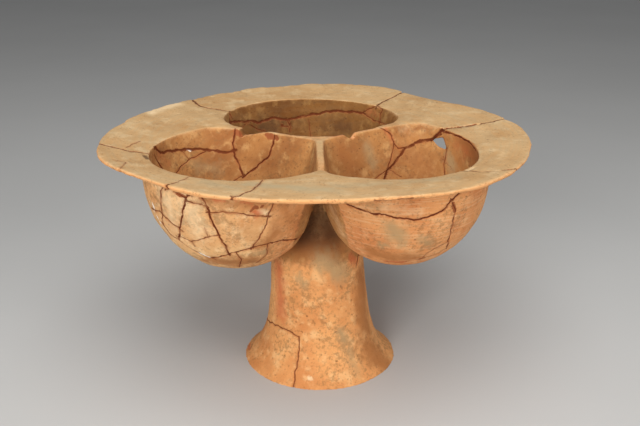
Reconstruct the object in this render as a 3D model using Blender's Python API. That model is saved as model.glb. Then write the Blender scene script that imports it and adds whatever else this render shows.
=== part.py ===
"""A pottery vessel of three joined bowls under one broad brim, on a hollow pedestal foot.

The vessel was found broken and has been put together again, so it keeps its hole, its
notches and the pieces lost from its edge. It is one piece of fired clay and one solid.

Lengths are in metres and +Z is up. The origin is the middle of the vessel's plan, at the
level that it stands on. The three bowls stand round the vessel's own upright axis.
"""
import math

import bmesh
import bpy
from mathutils import Vector

MM = 0.001

# The bowls stand round the vessel's axis, all as far from it. Each has its direction from
# there, then its mouth's oval: how far out and how far aside of the bowl's middle the oval's
# own middle is, its half length outwards, its half width across, and its turn
REAR_MOUTH = (90, -18.5 * MM, 0 * MM, 78 * MM, 86 * MM, -13)
LEFT_MOUTH = (208.5, -26.5 * MM, -0.4 * MM, 93 * MM, 84 * MM, 2.5)
RIGHT_MOUTH = (329.5, -41.5 * MM, 4.4 * MM, 108 * MM, 88 * MM, -26.5)
MOUTHS = (REAR_MOUTH, LEFT_MOUTH, RIGHT_MOUTH)
MOUTH_BLEND_DEPTH = 75 * MM

# Bowls, each widest a little under its rim and leaning in towards the vessel's axis at its
# bottom. Their fullness is the power of the curve of their sides, which is 2 for an ellipse
RIM_HEIGHT = 218 * MM
BOWL_OFFSET = 88.5 * MM
BOWL_RADIUS = 72.5 * MM
BOWL_DROP = 16 * MM
BOWL_DEPTH = 85 * MM
BOWL_WALL = 7 * MM
BOWL_FULLNESS = 2.3
BOWL_LEAN = 7 * MM

# The thin wall that two bowls share at their mouths
PARTITION = 5 * MM
PARTITION_DROP = 1.5 * MM

# Brim
BRIM_OVERHANG = 26 * MM
BRIM_RISE = 5.5 * MM
BRIM_ROOT = 7 * MM
BRIM_EDGE = 3.5 * MM
BRIM_ROUNDING = 1.2 * MM
BRIM_OVER_MOUTHS = 8 * MM
LIP = 1.5 * MM

# Stem and foot. Its outer form and its hollow end at depths under the rim
STEM_RADIUS = 48 * MM
STEM_TAPER = 0.045
STEM_WALL = 8 * MM
STEM_TOP_DEPTH = 42 * MM
HOLLOW_TOP_DEPTH = 58 * MM
FOOT_RADIUS = 73.2 * MM
FOOT_FLARE_HEIGHT = 19 * MM
FOOT_FLARE_BEND = 0.94
FOOT_RING = 6 * MM
FOOT_SHIFT = (3.4 * MM, -1.1 * MM)

# The walls that the bowls share meet at a point beside the axis. Each has its direction
# from there, and the rounding of the corners that it makes with the mouths' ovals
WALLS_MEET = (3 * MM, 0.5 * MM)
REAR_RIGHT_WALL = (30, 26 * MM)
REAR_LEFT_WALL = (150, 24 * MM)
FRONT_WALL = (267, 10 * MM)
WALLS = (REAR_RIGHT_WALL, REAR_LEFT_WALL, FRONT_WALL)
CORNER_BY_AXIS = 9 * MM
CORNER_SOFTENING = 1 * MM

# How far the hand-built brim swells beyond its mean radius, every 20 degrees from +X
BRIM_SWELL = (
    2.5 * MM, -3 * MM, -9.5 * MM, 7 * MM, 13 * MM, 5.5 * MM,
    -1.5 * MM, -6.5 * MM, -2.5 * MM, 2.5 * MM, 6.5 * MM, -2.5 * MM,
    -2 * MM, -7 * MM, -7 * MM, 3 * MM, 4.5 * MM, 2.5 * MM,
)

# Pieces lost from the brim's edge: where each starts, how far round it runs, and its depth
EDGE_CHIPS = (
    (56, -26, 9 * MM),
    (56, 9, 6 * MM),
    (97.5, 8, 4 * MM),
    (97.5, -8, 4 * MM),
    (112.5, 26, 4 * MM),
    (11, -8, 2.5 * MM),
    (164, 9, 2.5 * MM),
    (247, 5, 1.5 * MM),
)

# Breaks in the walls between the bowls, as places along the wall and heights over its top
REAR_LEFT_BREAK = (
    (50 * MM, 4 * MM), (51.5 * MM, -0.5 * MM), (60 * MM, -2 * MM), (67 * MM, -4.5 * MM),
    (73 * MM, -6 * MM), (78 * MM, -8 * MM), (79.5 * MM, -3 * MM), (81 * MM, 4 * MM),
)
REAR_RIGHT_BREAK = (
    (30 * MM, 4 * MM), (31 * MM, -1 * MM), (39 * MM, -5.5 * MM), (43 * MM, 0 * MM),
    (43.5 * MM, 4 * MM),
)

# The hole in the right bowl's outer wall, as directions from the bowl's middle and depths
# under the rim at the wall's inner side, and the way its broken sides run
HOLE_CORNERS = (
    (63, 11.5 * MM), (61, 14 * MM), (57.5, 16.5 * MM), (49.5, 17.5 * MM), (55, 7 * MM),
)
HOLE_HEADING = 78
HOLE_SLOPE = -16

# Fineness of the faces, and half the turn that a broken step in the brim's edge takes
BRIM_STEPS = 100
CHIP_STEP_TURN = 0.45
BOWL_STEPS = 40
BOWL_RINGS = 8
STEM_STEPS = 42
STEM_RINGS = 4
FLARE_RINGS = 7
SMOOTH_ANGLE = 30

# The flare counts as ended at this many times its height
FLARE_END = 3

# How far a cutter runs past what it cuts
CUT_PAST = 12 * MM

# The least share of a heading that faces a wall, and the least step of a turned profile
LEAST_FACING = 0.01
LEAST_STEP = 1 * MM

BOWL_EQUATOR = RIM_HEIGHT - BOWL_DROP
BRIM_RADIUS = BOWL_OFFSET + BOWL_RADIUS + BRIM_OVERHANG
STEM_TOP = RIM_HEIGHT - STEM_TOP_DEPTH
HOLLOW_TOP = RIM_HEIGHT - HOLLOW_TOP_DEPTH


def unit(degrees):
    """Return the level unit vector in a direction."""
    angle = math.radians(degrees)
    return Vector((math.cos(angle), math.sin(angle)))


def turn_between(start, end):
    """Return the turn from one direction to another, from -180 to 180 degrees."""
    return (end - start + 180) % 360 - 180


def swell(degrees):
    """Return the brim's swell in a direction, on a smooth curve through the listed ones."""
    count = len(BRIM_SWELL)
    place = (degrees % 360) * count / 360
    step = int(place)
    t = place - step
    before, start, end, after = (BRIM_SWELL[(step + k) % count] for k in (-1, 0, 1, 2))
    slope_at_start = (end - before) / 2
    slope_at_end = (after - start) / 2
    toward_end = t * t * (3 - 2 * t)
    return (
        start + (end - start) * toward_end
        + slope_at_start * t * (1 - t) ** 2
        - slope_at_end * t * t * (1 - t)
    )


def chipped(degrees):
    """Return the depth lost from the brim's edge in a direction."""
    lost = 0.0
    for start, run, depth in EDGE_CHIPS:
        share = turn_between(start, degrees) / run
        if 0 <= share < 1:
            lost += depth * (1 - share)
    return lost


def brim_reach(degrees):
    """Return the distance from the axis to the brim's edge in a direction."""
    return BRIM_RADIUS + swell(degrees) - chipped(degrees)


def brim_directions():
    """Return the directions of the brim's corners, with a pair at each broken step."""
    spacing = 360 / BRIM_STEPS
    turns = [spacing * k for k in range(BRIM_STEPS)]
    for chip in EDGE_CHIPS:
        start = chip[0]
        turns = [turn for turn in turns if abs(turn - start) > spacing / 2]
        turns += [start - CHIP_STEP_TURN, start + CHIP_STEP_TURN]
    return sorted(set(turns))


def oval_distance(oval, place, heading):
    """Return how far a ray runs to a mouth's oval.

    Its place is seen from the bowl's middle, and the first axis points out from the vessel's
    axis, for the heading too.
    """
    along, aside, half_length, half_width, turn = oval
    across = Vector((-math.sin(math.radians(turn)), math.cos(math.radians(turn))))
    axis = Vector((across.y, -across.x))
    start = place - Vector((along, aside))
    px, py = start.dot(axis) / half_length, start.dot(across) / half_width
    dx, dy = heading.dot(axis) / half_length, heading.dot(across) / half_width
    a = dx * dx + dy * dy
    b = px * dx + py * dy
    c = px * px + py * py - 1
    return (-b + math.sqrt(b * b - a * c)) / a


def soft_min(first, second, rounding):
    """Return the smaller of two lengths, rounded off where they are nearly alike."""
    share = max(rounding - abs(first - second), 0) / rounding
    return min(first, second) - share * share * rounding / 4


def mouth_reach(bowl, turn):
    """Return the distance from a bowl's middle to its mouth's edge, in a turn from outwards.

    The mouth is its oval, cut off by the two walls that it shares with the other bowls.
    """
    direction = MOUTHS[bowl][0]
    heading = unit(direction + turn)
    to_meeting = Vector(WALLS_MEET) - unit(direction) * BOWL_OFFSET
    reach = oval_distance(MOUTHS[bowl][1:], Vector((0, 0)), unit(turn))
    wall_reaches = []
    for wall, rounding in WALLS:
        aside = turn_between(direction, wall)
        if abs(aside) < 90:
            outward = unit(wall + math.copysign(90, aside))
            facing = max(heading.dot(outward), LEAST_FACING)
            wall_reach = (to_meeting.dot(outward) - PARTITION / 2) / facing
            wall_reaches.append(wall_reach)
            reach = soft_min(reach, wall_reach, rounding)
    corner = soft_min(*wall_reaches, CORNER_BY_AXIS)
    return soft_min(reach, corner, CORNER_SOFTENING)


def trefoil_reach(degrees):
    """Return the distance from the axis to the outer edge of the mouths, in a direction."""
    axis = Vector((-BOWL_OFFSET, 0))
    turns = [turn_between(mouth[0], degrees) for mouth in MOUTHS]
    nearest = min(abs(turn) for turn in turns)
    return max(
        oval_distance(mouth[1:], axis, unit(turn))
        for mouth, turn in zip(MOUTHS, turns)
        if math.isclose(abs(turn), nearest)
    )


def section_radius(height, wall):
    """Return a bowl's round radius at a height, with a wall taken off its outside."""
    share = abs(height - BOWL_EQUATOR) / (BOWL_DEPTH - wall)
    return (BOWL_RADIUS - wall) * max(1 - share ** BOWL_FULLNESS, 0) ** (1 / BOWL_FULLNESS)


def bowl_middle(bowl, height):
    """Return the place of a bowl's leaning middle line at a height."""
    share = max((BOWL_EQUATOR - height) / BOWL_DEPTH, 0)
    lean = BOWL_LEAN * share * share * (3 - 2 * share)
    return Vector((*(unit(MOUTHS[bowl][0]) * (BOWL_OFFSET - lean)), height))


def bowl_reach(bowl, turn, height, wall):
    """Return the distance from a bowl's middle line to its side, at a turn and a height.

    wall is the thickness taken off the outside: the bowl's wall for its inside, or 0. The
    side goes straight up over the lip.
    """
    level = RIM_HEIGHT if height > RIM_HEIGHT - 2 * LIP else height
    depth = RIM_HEIGHT - level
    round_radius = section_radius(level, wall)
    blend = max(1 - depth / MOUTH_BLEND_DEPTH, 0) ** 2
    at_mouth = mouth_reach(bowl, turn) + BOWL_WALL - wall
    return round_radius + (at_mouth - section_radius(RIM_HEIGHT, wall)) * blend


def bowl_place(bowl, direction, height, wall):
    """Return the place on a bowl's side in a direction from its middle line, at a height."""
    turn = turn_between(MOUTHS[bowl][0], direction)
    side = unit(direction) * bowl_reach(bowl, turn, height, wall)
    return bowl_middle(bowl, height) + Vector((*side, 0))


def mesh_object(name, bm, parent, material=None):
    """Make an object from a bmesh, with outward faces and smooth shading."""
    bmesh.ops.recalc_face_normals(bm, faces=bm.faces)
    mesh = bpy.data.meshes.new(name)
    bm.to_mesh(mesh)
    bm.free()
    mesh.shade_smooth()
    mesh.set_sharp_from_angle(angle=math.radians(SMOOTH_ANGLE))
    if material:
        mesh.materials.append(material)
    thing = bpy.data.objects.new(name, mesh)
    thing.parent = parent
    bpy.context.scene.collection.objects.link(thing)
    return thing


def loft(rings):
    """Make a bmesh from rings of points, bridged in order, with its ends filled.

    A ring of one point is a tip.
    """
    bm = bmesh.new()
    loops = [[bm.verts.new(point) for point in ring] for ring in rings]
    for lower, upper in zip(loops, loops[1:]):
        count = max(len(lower), len(upper))
        for k in range(count):
            after = (k + 1) % count
            corners = (
                lower[k % len(lower)], lower[after % len(lower)],
                upper[after % len(upper)], upper[k % len(upper)],
            )
            bm.faces.new(list(dict.fromkeys(corners)))
    if len(loops[0]) > 1:
        bm.faces.new(list(reversed(loops[0])))
    if len(loops[-1]) > 1:
        bm.faces.new(loops[-1])
    return bm


def bowl_form(bowl, wall, top):
    """Make the bmesh of a bowl's outer form, or of its inside where wall is its thickness."""
    depth = BOWL_DEPTH - wall
    rings = [[bowl_middle(bowl, BOWL_EQUATOR - depth)]]
    heights = [BOWL_EQUATOR - depth * math.cos(math.pi / 2 * k / BOWL_RINGS)
               for k in range(1, BOWL_RINGS + 1)]
    heights.append((BOWL_EQUATOR + RIM_HEIGHT) / 2)
    heights.append(RIM_HEIGHT - LIP)
    if top > RIM_HEIGHT:
        heights.append(top)
    for height in heights:
        rings.append([
            bowl_place(bowl, MOUTHS[bowl][0] + 360 * k / BOWL_STEPS, height, wall)
            for k in range(BOWL_STEPS)
        ])
    return loft(rings)


def brim_form():
    """Make the bmesh of the brim, a plate that rises to its edge, over the bowls' mouths."""
    directions = brim_directions()

    def ring(reach, height):
        return [Vector((*(unit(turn) * reach(turn)), height)) for turn in directions]

    edge_top = RIM_HEIGHT + BRIM_RISE
    rings = [
        ring(lambda turn: trefoil_reach(turn) - BRIM_OVER_MOUTHS, RIM_HEIGHT - PARTITION_DROP),
        ring(lambda turn: trefoil_reach(turn) - LIP, RIM_HEIGHT),
        ring(lambda turn: brim_reach(turn) - BRIM_ROUNDING, edge_top),
        ring(brim_reach, edge_top - BRIM_ROUNDING),
        ring(lambda turn: brim_reach(turn) - BRIM_ROUNDING, edge_top - BRIM_EDGE),
        ring(lambda turn: trefoil_reach(turn) + BOWL_WALL, RIM_HEIGHT - BRIM_ROOT),
    ]
    return loft(rings)


def stem_radius(height):
    """Return the outer radius of the stem and foot at a height."""
    flare = math.exp(-(max(height / FOOT_FLARE_HEIGHT, 0) ** FOOT_FLARE_BEND))
    straight = STEM_RADIUS - STEM_TAPER * height
    return straight + (FOOT_RADIUS - STEM_RADIUS) * flare


def stem_heights():
    """Return the heights of the stem's rings, close together where the foot flares."""
    flare_top = FOOT_FLARE_HEIGHT * FLARE_END
    flare = [flare_top * (k / FLARE_RINGS) ** 2 for k in range(FLARE_RINGS)]
    rest = [flare_top + (STEM_TOP - flare_top) * k / STEM_RINGS for k in range(STEM_RINGS + 1)]
    return flare + rest


def turned(profile):
    """Make the bmesh of a profile of radii and heights turned round the stem's axis."""
    rings = []
    for radius, height in profile:
        shift = Vector(FOOT_SHIFT) * (1 - height / STEM_TOP)
        rings.append([
            Vector((*(unit(360 * k / STEM_STEPS) * radius + shift), height))
            for k in range(STEM_STEPS)
        ])
    return loft(rings)


def stem_form():
    """Make the bmesh of the stem and foot as a solid form."""
    return turned([(stem_radius(height), height) for height in stem_heights()])


def hollow_form():
    """Make the bmesh of the hollow of the stem and foot, one wall inside their outer form."""
    profile = [(FOOT_RADIUS - FOOT_RING, -CUT_PAST), (FOOT_RADIUS - FOOT_RING, 0)]
    for height in stem_heights()[1:]:
        rise = stem_radius(height + LEAST_STEP) - stem_radius(height - LEAST_STEP)
        normal = Vector((2 * LEAST_STEP, -rise)).normalized()
        radius = stem_radius(height) - normal.x * STEM_WALL
        level = height - normal.y * STEM_WALL
        last_radius, last_level = profile[-1]
        if last_level + LEAST_STEP < level < HOLLOW_TOP - LEAST_STEP and radius < last_radius:
            profile.append((radius, level))
    profile.append((stem_radius(HOLLOW_TOP) - STEM_WALL, HOLLOW_TOP))
    return turned(profile)


def wall_break_form(direction, outline):
    """Make the bmesh that cuts a break through the wall between two bowls.

    The outline's places are measured along the wall from the axis.
    """
    out = unit(direction)
    across = Vector((-out.y, out.x))
    rings = []
    for side in (-1, 1):
        rings.append([
            Vector((*(out * along + across * side * CUT_PAST),
                    RIM_HEIGHT - PARTITION_DROP + over))
            for along, over in outline
        ])
    return loft(rings)


def hole_form():
    """Make the bmesh that cuts the hole through the right bowl's outer wall."""
    bowl = MOUTHS.index(RIGHT_MOUTH)
    slope = unit(HOLE_SLOPE)
    way = Vector((*(unit(HOLE_HEADING) * slope.x), slope.y))
    rings = []
    for reach in (-CUT_PAST, 2 * CUT_PAST):
        rings.append([
            bowl_place(bowl, direction, RIM_HEIGHT - depth, BOWL_WALL) + way * reach
            for direction, depth in HOLE_CORNERS
        ])
    return loft(rings)


def cut_or_join(target, tool, operation):
    """Add a Boolean modifier to the target, and hide the tool as a cutter or guide."""
    tool.hide_render = True
    tool.display_type = "WIRE"
    modifier = target.modifiers.new(f"{operation.lower()} {tool.name}", "BOOLEAN")
    modifier.operation = operation
    modifier.object = tool


def clay():
    """Make the fired clay's material."""
    material = bpy.data.materials.new("fired_clay")
    material.use_nodes = True
    shader = material.node_tree.nodes["Principled BSDF"]
    shader.inputs["Base Color"].default_value = (0.62, 0.33, 0.15, 1)
    shader.inputs["Roughness"].default_value = 0.85
    shader.inputs["Metallic"].default_value = 0
    return material


def plan_middle():
    """Return the middle of the brim's plan, seen from the axis that the bowls stand round."""
    edge = [unit(turn) * brim_reach(turn) for turn in brim_directions()]
    return Vector((
        (min(point.x for point in edge) + max(point.x for point in edge)) / 2,
        (min(point.y for point in edge) + max(point.y for point in edge)) / 2,
    ))


def build():
    """Build the vessel."""
    for old in list(bpy.data.objects):
        bpy.data.objects.remove(old)
    middle = plan_middle()
    axis = bpy.data.objects.new("vessel_axis", None)
    axis.location = (-middle.x, -middle.y, 0)
    bpy.context.scene.collection.objects.link(axis)

    vessel = mesh_object("joined_cup_vessel", brim_form(), axis, clay())
    cut_or_join(vessel, mesh_object("stem_and_foot", stem_form(), axis), "UNION")
    bowls = range(len(MOUTHS))
    outsides = [mesh_object(f"bowl_{k + 1}_outside", bowl_form(k, 0, RIM_HEIGHT), axis)
                for k in bowls]
    for outside in outsides:
        cut_or_join(vessel, outside, "UNION")
    hollow = mesh_object("stem_hollow", hollow_form(), axis)
    for outside in outsides:
        cut_or_join(hollow, outside, "DIFFERENCE")
    cut_or_join(vessel, hollow, "DIFFERENCE")
    for k in bowls:
        inside = bowl_form(k, BOWL_WALL, RIM_HEIGHT + CUT_PAST)
        cut_or_join(vessel, mesh_object(f"bowl_{k + 1}_inside", inside, axis), "DIFFERENCE")
    breaks = (
        ("rear_left_break", wall_break_form(REAR_LEFT_WALL[0], REAR_LEFT_BREAK)),
        ("rear_right_break", wall_break_form(REAR_RIGHT_WALL[0], REAR_RIGHT_BREAK)),
        ("hole_in_bowl", hole_form()),
    )
    for name, form in breaks:
        cut_or_join(vessel, mesh_object(name, form, axis), "DIFFERENCE")


build()
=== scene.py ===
"""Dresses the joined cup vessel: hand-built clay, mended breaks, stains and a plain studio.

The vessel is one piece of fired clay that was found broken and has been put together again.
Its forms are modelled finely from the sizes of its solid and joined. Then the breaks' open
seams, lost flakes and stains go where the photograph shows them, painted shade darkens the
clay where shade falls and painted highlights lighten it where light falls, and the sides
that it doesn't show get plainer seams of the same kind. Lengths are in metres and +Z is up.
"""

import logging
import math
from dataclasses import dataclass, field
from enum import Enum
from typing import Any

import bpy
import numpy as np
from mathutils import Euler, Matrix, Vector
from mathutils.bvhtree import BVHTree
from numpy.typing import NDArray


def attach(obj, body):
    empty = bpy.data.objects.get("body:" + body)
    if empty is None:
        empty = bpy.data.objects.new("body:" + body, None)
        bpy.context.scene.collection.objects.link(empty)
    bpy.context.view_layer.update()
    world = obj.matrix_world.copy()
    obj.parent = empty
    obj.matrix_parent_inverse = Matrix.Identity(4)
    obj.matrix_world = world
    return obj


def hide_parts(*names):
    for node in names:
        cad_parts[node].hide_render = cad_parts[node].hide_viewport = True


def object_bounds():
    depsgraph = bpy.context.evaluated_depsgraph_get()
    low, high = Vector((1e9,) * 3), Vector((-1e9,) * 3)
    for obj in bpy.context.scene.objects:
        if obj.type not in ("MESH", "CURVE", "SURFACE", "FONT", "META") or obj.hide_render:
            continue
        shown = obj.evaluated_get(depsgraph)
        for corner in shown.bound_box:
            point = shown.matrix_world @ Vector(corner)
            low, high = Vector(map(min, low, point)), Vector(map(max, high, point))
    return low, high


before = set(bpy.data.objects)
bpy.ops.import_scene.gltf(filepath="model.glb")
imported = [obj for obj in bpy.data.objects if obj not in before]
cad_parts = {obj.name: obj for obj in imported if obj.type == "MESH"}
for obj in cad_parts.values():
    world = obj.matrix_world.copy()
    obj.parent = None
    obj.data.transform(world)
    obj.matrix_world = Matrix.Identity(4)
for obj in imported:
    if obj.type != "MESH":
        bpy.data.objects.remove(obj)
CAD_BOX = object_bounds()

Array = NDArray[np.float64]
Colour = tuple[float, float, float, float]
Pixel = tuple[float, float]

MM = 0.001
NODE = "joined_cup_vessel"
log = logging.getLogger("vessel")


def unit(degrees: float | Array) -> Array:
    """Return the level unit vector of each direction, in degrees from +X."""
    angle = np.radians(degrees)
    return np.stack((np.cos(angle), np.sin(angle)), axis=-1)


def turn_between(start: float, end: float | Array) -> Any:
    """Return the turn from one direction to another, from -180 to 180 degrees."""
    return (end - start + 180) % 360 - 180


def soft_min(first: Array, second: Array, rounding: float) -> Array:
    """Return the smaller of two lengths, rounded off where they differ by less than the rounding."""
    share = np.maximum(rounding - np.abs(first - second), 0) / rounding
    return np.minimum(first, second) - share * share * rounding / 4


def smooth_step(low: float, high: float, values: Array) -> Array:
    """Return 0 below one level, 1 above another and a smooth rise between them."""
    t = np.clip((values - low) / (high - low), 0, 1)
    return t * t * (3 - 2 * t)


def ripple(places: Array, size: float, seed: int, waves: int = 8) -> Array:
    """Return smooth irregular waves from about -1 to 1, the same each run.

    Args:
        places: Points, with any number of coordinates in the last axis.
        size: The usual distance between two crests.
        seed: Which pattern it is.
        waves: How many plain waves are laid over each other.

    Returns:
        One value for each point.
    """
    chance = np.random.default_rng(seed)
    total = np.zeros(places.shape[:-1])
    for _ in range(waves):
        heading = chance.normal(size=places.shape[-1])
        heading /= np.linalg.norm(heading)
        length = size * chance.uniform(0.6, 1.7)
        total += np.sin(places @ heading * math.tau / length + chance.uniform(0, math.tau))
    return total / math.sqrt(waves)


def srgb(*screen: float) -> Colour:
    """Return a linear colour from its red, green and blue on a screen, from 0 to 255."""
    shares = (value / 255 for value in screen)
    return (*(v / 12.92 if v <= 0.04045 else ((v + 0.055) / 1.055) ** 2.4 for v in shares), 1.0)


def mm(*lengths: float) -> tuple[float, ...]:
    """Return lengths that are given in millimetres, in metres."""
    return tuple(length * MM for length in lengths)


class Bench:
    """The workbench: Blender's operators and mesh arrays, on one thing at a time."""

    @staticmethod
    def pick(thing: bpy.types.Object) -> None:
        """Deselect everything and make one object the active one.

        Args:
            thing: The object.
        """
        bpy.ops.object.select_all(action="DESELECT")
        thing.select_set(True)
        bpy.context.view_layer.objects.active = thing

    @staticmethod
    def read(rows: Any, name: str) -> Array:
        """Return a vector of each row of a mesh's list.

        Args:
            rows: The list.
            name: The vector's name there.

        Returns:
            One row for each.
        """
        flat = np.empty(len(rows) * 3, np.float32)
        rows.foreach_get(name, flat)
        return flat.reshape(-1, 3).astype(float)

    @classmethod
    def corners(cls, thing: bpy.types.Object) -> Array:
        """Return the places of a mesh's corners, one row each."""
        return cls.read(thing.data.vertices, "co")

    @classmethod
    def normals(cls, thing: bpy.types.Object) -> Array:
        """Return the outward directions of a mesh's corners, one row each."""
        return cls.read(thing.data.vertex_normals, "vector")

    @staticmethod
    def put_corners(thing: bpy.types.Object, places: Array) -> None:
        """Put a mesh's corners in the places given, one row each."""
        thing.data.vertices.foreach_set("co", places.astype(np.float32).ravel())
        thing.data.update()

    @classmethod
    def apply(cls, thing: bpy.types.Object, kind: str, **settings: Any) -> None:
        """Give an object a modifier with these settings and apply it.

        Args:
            thing: The object.
            kind: The modifier's type.
            **settings: The modifier's own values.
        """
        cls.pick(thing)
        modifier = thing.modifiers.new(kind.lower(), kind)
        for name, value in settings.items():
            setattr(modifier, name, value)
        bpy.ops.object.modifier_apply(modifier=modifier.name)

    @classmethod
    def combine(cls, target: bpy.types.Object, tool: bpy.types.Object, how: str) -> None:
        """Join a tool's form to the target, or cut it out, and remove the tool."""
        cls.apply(target, "BOOLEAN", operation=how, object=tool)
        bpy.data.objects.remove(tool)


@dataclass(frozen=True)
class Mouth:
    """A bowl's mouth, an oval whose middle lies a little off the bowl's own.

    Attributes:
        direction: Where the bowl stands, from the vessel's axis.
        along: How far the oval's middle is outwards of the bowl's.
        aside: How far it is aside of the bowl's.
        half_length: Half the oval's length outwards.
        half_width: Half its width across.
        turn: How far it is turned.
    """

    direction: float
    along: float
    aside: float
    half_length: float
    half_width: float
    turn: float

    def oval_reach(self, place: tuple[float, float], turns: Array) -> Array:
        """Return how far rays run from a place to the oval.

        Args:
            place: Where the rays start, from the bowl's middle, with outwards first.
            turns: The rays' turns from outwards.

        Returns:
            One length for each ray.
        """
        axis, across, heading = unit(self.turn), unit(self.turn + 90), unit(turns)
        start = np.array(place) - (self.along, self.aside)
        px, py = start @ axis / self.half_length, start @ across / self.half_width
        dx, dy = heading @ axis / self.half_length, heading @ across / self.half_width
        a = dx * dx + dy * dy
        b = px * dx + py * dy
        c = px * px + py * py - 1
        return (-b + np.sqrt(b * b - a * c)) / a


@dataclass(frozen=True)
class SharedWall:
    """A wall that two bowls share, with its direction and the rounding of its corners."""

    direction: float
    rounding: float


@dataclass(frozen=True)
class Plan:
    """Where the vessel's parts stand and the levels that they share."""

    axis: tuple[float, ...] = mm(0.29, -9.56)
    rim_height: float = 218 * MM
    bowl_offset: float = 88.5 * MM
    bowl_radius: float = 72.5 * MM
    bowl_drop: float = 16 * MM
    bowl_depth: float = 85 * MM
    bowl_wall: float = 7 * MM
    bowl_fullness: float = 2.3
    bowl_lean: float = 7 * MM
    partition: float = 5 * MM
    partition_drop: float = 1.5 * MM
    lip: float = 1.5 * MM
    cut_past: float = 12 * MM
    walls_meet: tuple[float, ...] = mm(3, 0.5)
    rear: Mouth = Mouth(90, -18.5 * MM, 0, 78 * MM, 86 * MM, -13)
    left: Mouth = Mouth(208.5, -26.5 * MM, -0.4 * MM, 93 * MM, 84 * MM, 2.5)
    right: Mouth = Mouth(329.5, -41.5 * MM, 4.4 * MM, 108 * MM, 88 * MM, -26.5)
    ovals_meet_over: float = 14
    front_gap: float = 269
    rear_right_wall: SharedWall = SharedWall(30, 26 * MM)
    rear_left_wall: SharedWall = SharedWall(150, 24 * MM)
    front_wall: SharedWall = SharedWall(267, 10 * MM)

    @property
    def mouths(self) -> tuple[Mouth, ...]:
        """The mouths, from the rear bowl's round to the right bowl's."""
        return (self.rear, self.left, self.right)

    @property
    def walls(self) -> tuple[SharedWall, ...]:
        """The walls that the bowls share."""
        return (self.rear_right_wall, self.rear_left_wall, self.front_wall)

    @property
    def equator(self) -> float:
        """The level where the bowls are widest."""
        return self.rim_height - self.bowl_drop

    def middle(self, mouth: Mouth) -> Array:
        """Return the middle of a bowl, at the level where it is widest."""
        level = np.array(self.axis) + unit(mouth.direction) * self.bowl_offset
        return np.array((*level, self.equator))

    def middle_line(self, mouth: Mouth, height: float | Array) -> Array:
        """Return a bowl's leaning middle line at a height, seen from the vessel's axis."""
        share = smooth_step(0, self.bowl_depth, self.equator - height)
        return np.multiply.outer(self.bowl_offset - self.bowl_lean * share, unit(mouth.direction))

    def trefoil_reach(self, turns: Array) -> Array:
        """Return the distances from the axis to the mouths' outer edges.

        Args:
            turns: The directions to look in.

        Returns:
            One length for each direction, blended where one oval follows another.
        """
        asides = np.array([turn_between(mouth.direction, turns) for mouth in self.mouths])
        ovals = np.array([mouth.oval_reach((-self.bowl_offset, 0), aside)
                          for mouth, aside in zip(self.mouths, asides)])
        order = np.argsort(np.abs(asides), axis=0)
        nearest, second, _last = np.take_along_axis(ovals, order, axis=0)
        gap = np.diff(np.sort(np.abs(asides), axis=0), axis=0)[0]
        share = smooth_step(-self.ovals_meet_over, self.ovals_meet_over, gap)
        return nearest * share + second * (1 - share)

    def polar(self, places: Array) -> tuple[Array, Array]:
        """Return points' directions in degrees and distances, from the vessel's axis."""
        out = places[:, :2] - self.axis
        return np.degrees(np.arctan2(out[:, 1], out[:, 0])), np.hypot(out[:, 0], out[:, 1])

    def nearness(self, places: Array, mouth: Mouth) -> Array:
        """Return how much nearer points are to one bowl's middle than to the others'.

        Args:
            places: The points, in rows.
            mouth: The bowl's mouth.

        Returns:
            One length for each point.
        """
        gaps = {other: np.linalg.norm(places[:, :2] - self.middle(other)[:2], axis=1)
                for other in self.mouths}
        return np.min([gap for other, gap in gaps.items() if other != mouth], axis=0) - gaps[mouth]

    def on_brim(self, places: Array) -> Array:
        """Return whether points are on the brim's top, outside the mouths.

        Args:
            places: The points, in rows.

        Returns:
            True or False for each point.
        """
        turns, out = self.polar(places)
        high = places[:, 2] > self.rim_height - self.lip / 2
        return high & (out > self.trefoil_reach(turns) + self.lip)


PLAN = Plan()


@dataclass
class RingedForm:
    """A closed form that is drawn up ring by ring from a filled circle.

    Attributes:
        name: The object's name while it is worked on.
        steps: How many corners each ring has.
    """

    name: str
    steps: int

    def rings(self, turns: Array) -> list[Array]:
        """Return the rings' corners, from the first ring to the last.

        Args:
            turns: The turn of each corner round the form.

        Returns:
            One array of points for each ring, from the vessel's axis.
        """
        raise NotImplementedError

    def build(self) -> bpy.types.Object:
        """Draw the form up and return its object.

        Returns:
            The object.
        """
        turns = np.arange(self.steps) * 360 / self.steps
        rings = np.array(self.rings(turns))
        bpy.ops.mesh.primitive_circle_add(vertices=self.steps, radius=1, fill_type="NGON")
        form = bpy.context.active_object
        form.name = self.name
        Bench.pick(form)
        bpy.ops.object.mode_set(mode="EDIT")
        bpy.ops.mesh.select_all(action="SELECT")
        for _ in rings[1:]:
            bpy.ops.mesh.extrude_region_move(TRANSFORM_OT_translate={"value": (0, 0, 1)})
        bpy.ops.object.mode_set(mode="OBJECT")
        drawn = Bench.corners(form)
        level = np.rint(drawn[:, 2]).astype(int)
        turn = np.degrees(np.arctan2(drawn[:, 1], drawn[:, 0]))
        corner = np.rint(turn * self.steps / 360).astype(int) % self.steps
        Bench.put_corners(form, rings[level, corner] + (*PLAN.axis, 0))
        bpy.ops.object.mode_set(mode="EDIT")
        bpy.ops.mesh.select_all(action="SELECT")
        bpy.ops.mesh.normals_make_consistent(inside=False)
        bpy.ops.object.mode_set(mode="OBJECT")
        return form


def ring(turns: Array, reach: Array | float, height: Array | float) -> Array:
    """Return a level ring's corners, from their directions, distances from the axis and heights."""
    reaches = np.broadcast_to(reach, turns.shape)
    return np.column_stack((unit(turns) * reaches[:, None], np.broadcast_to(height, turns.shape)))


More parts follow.
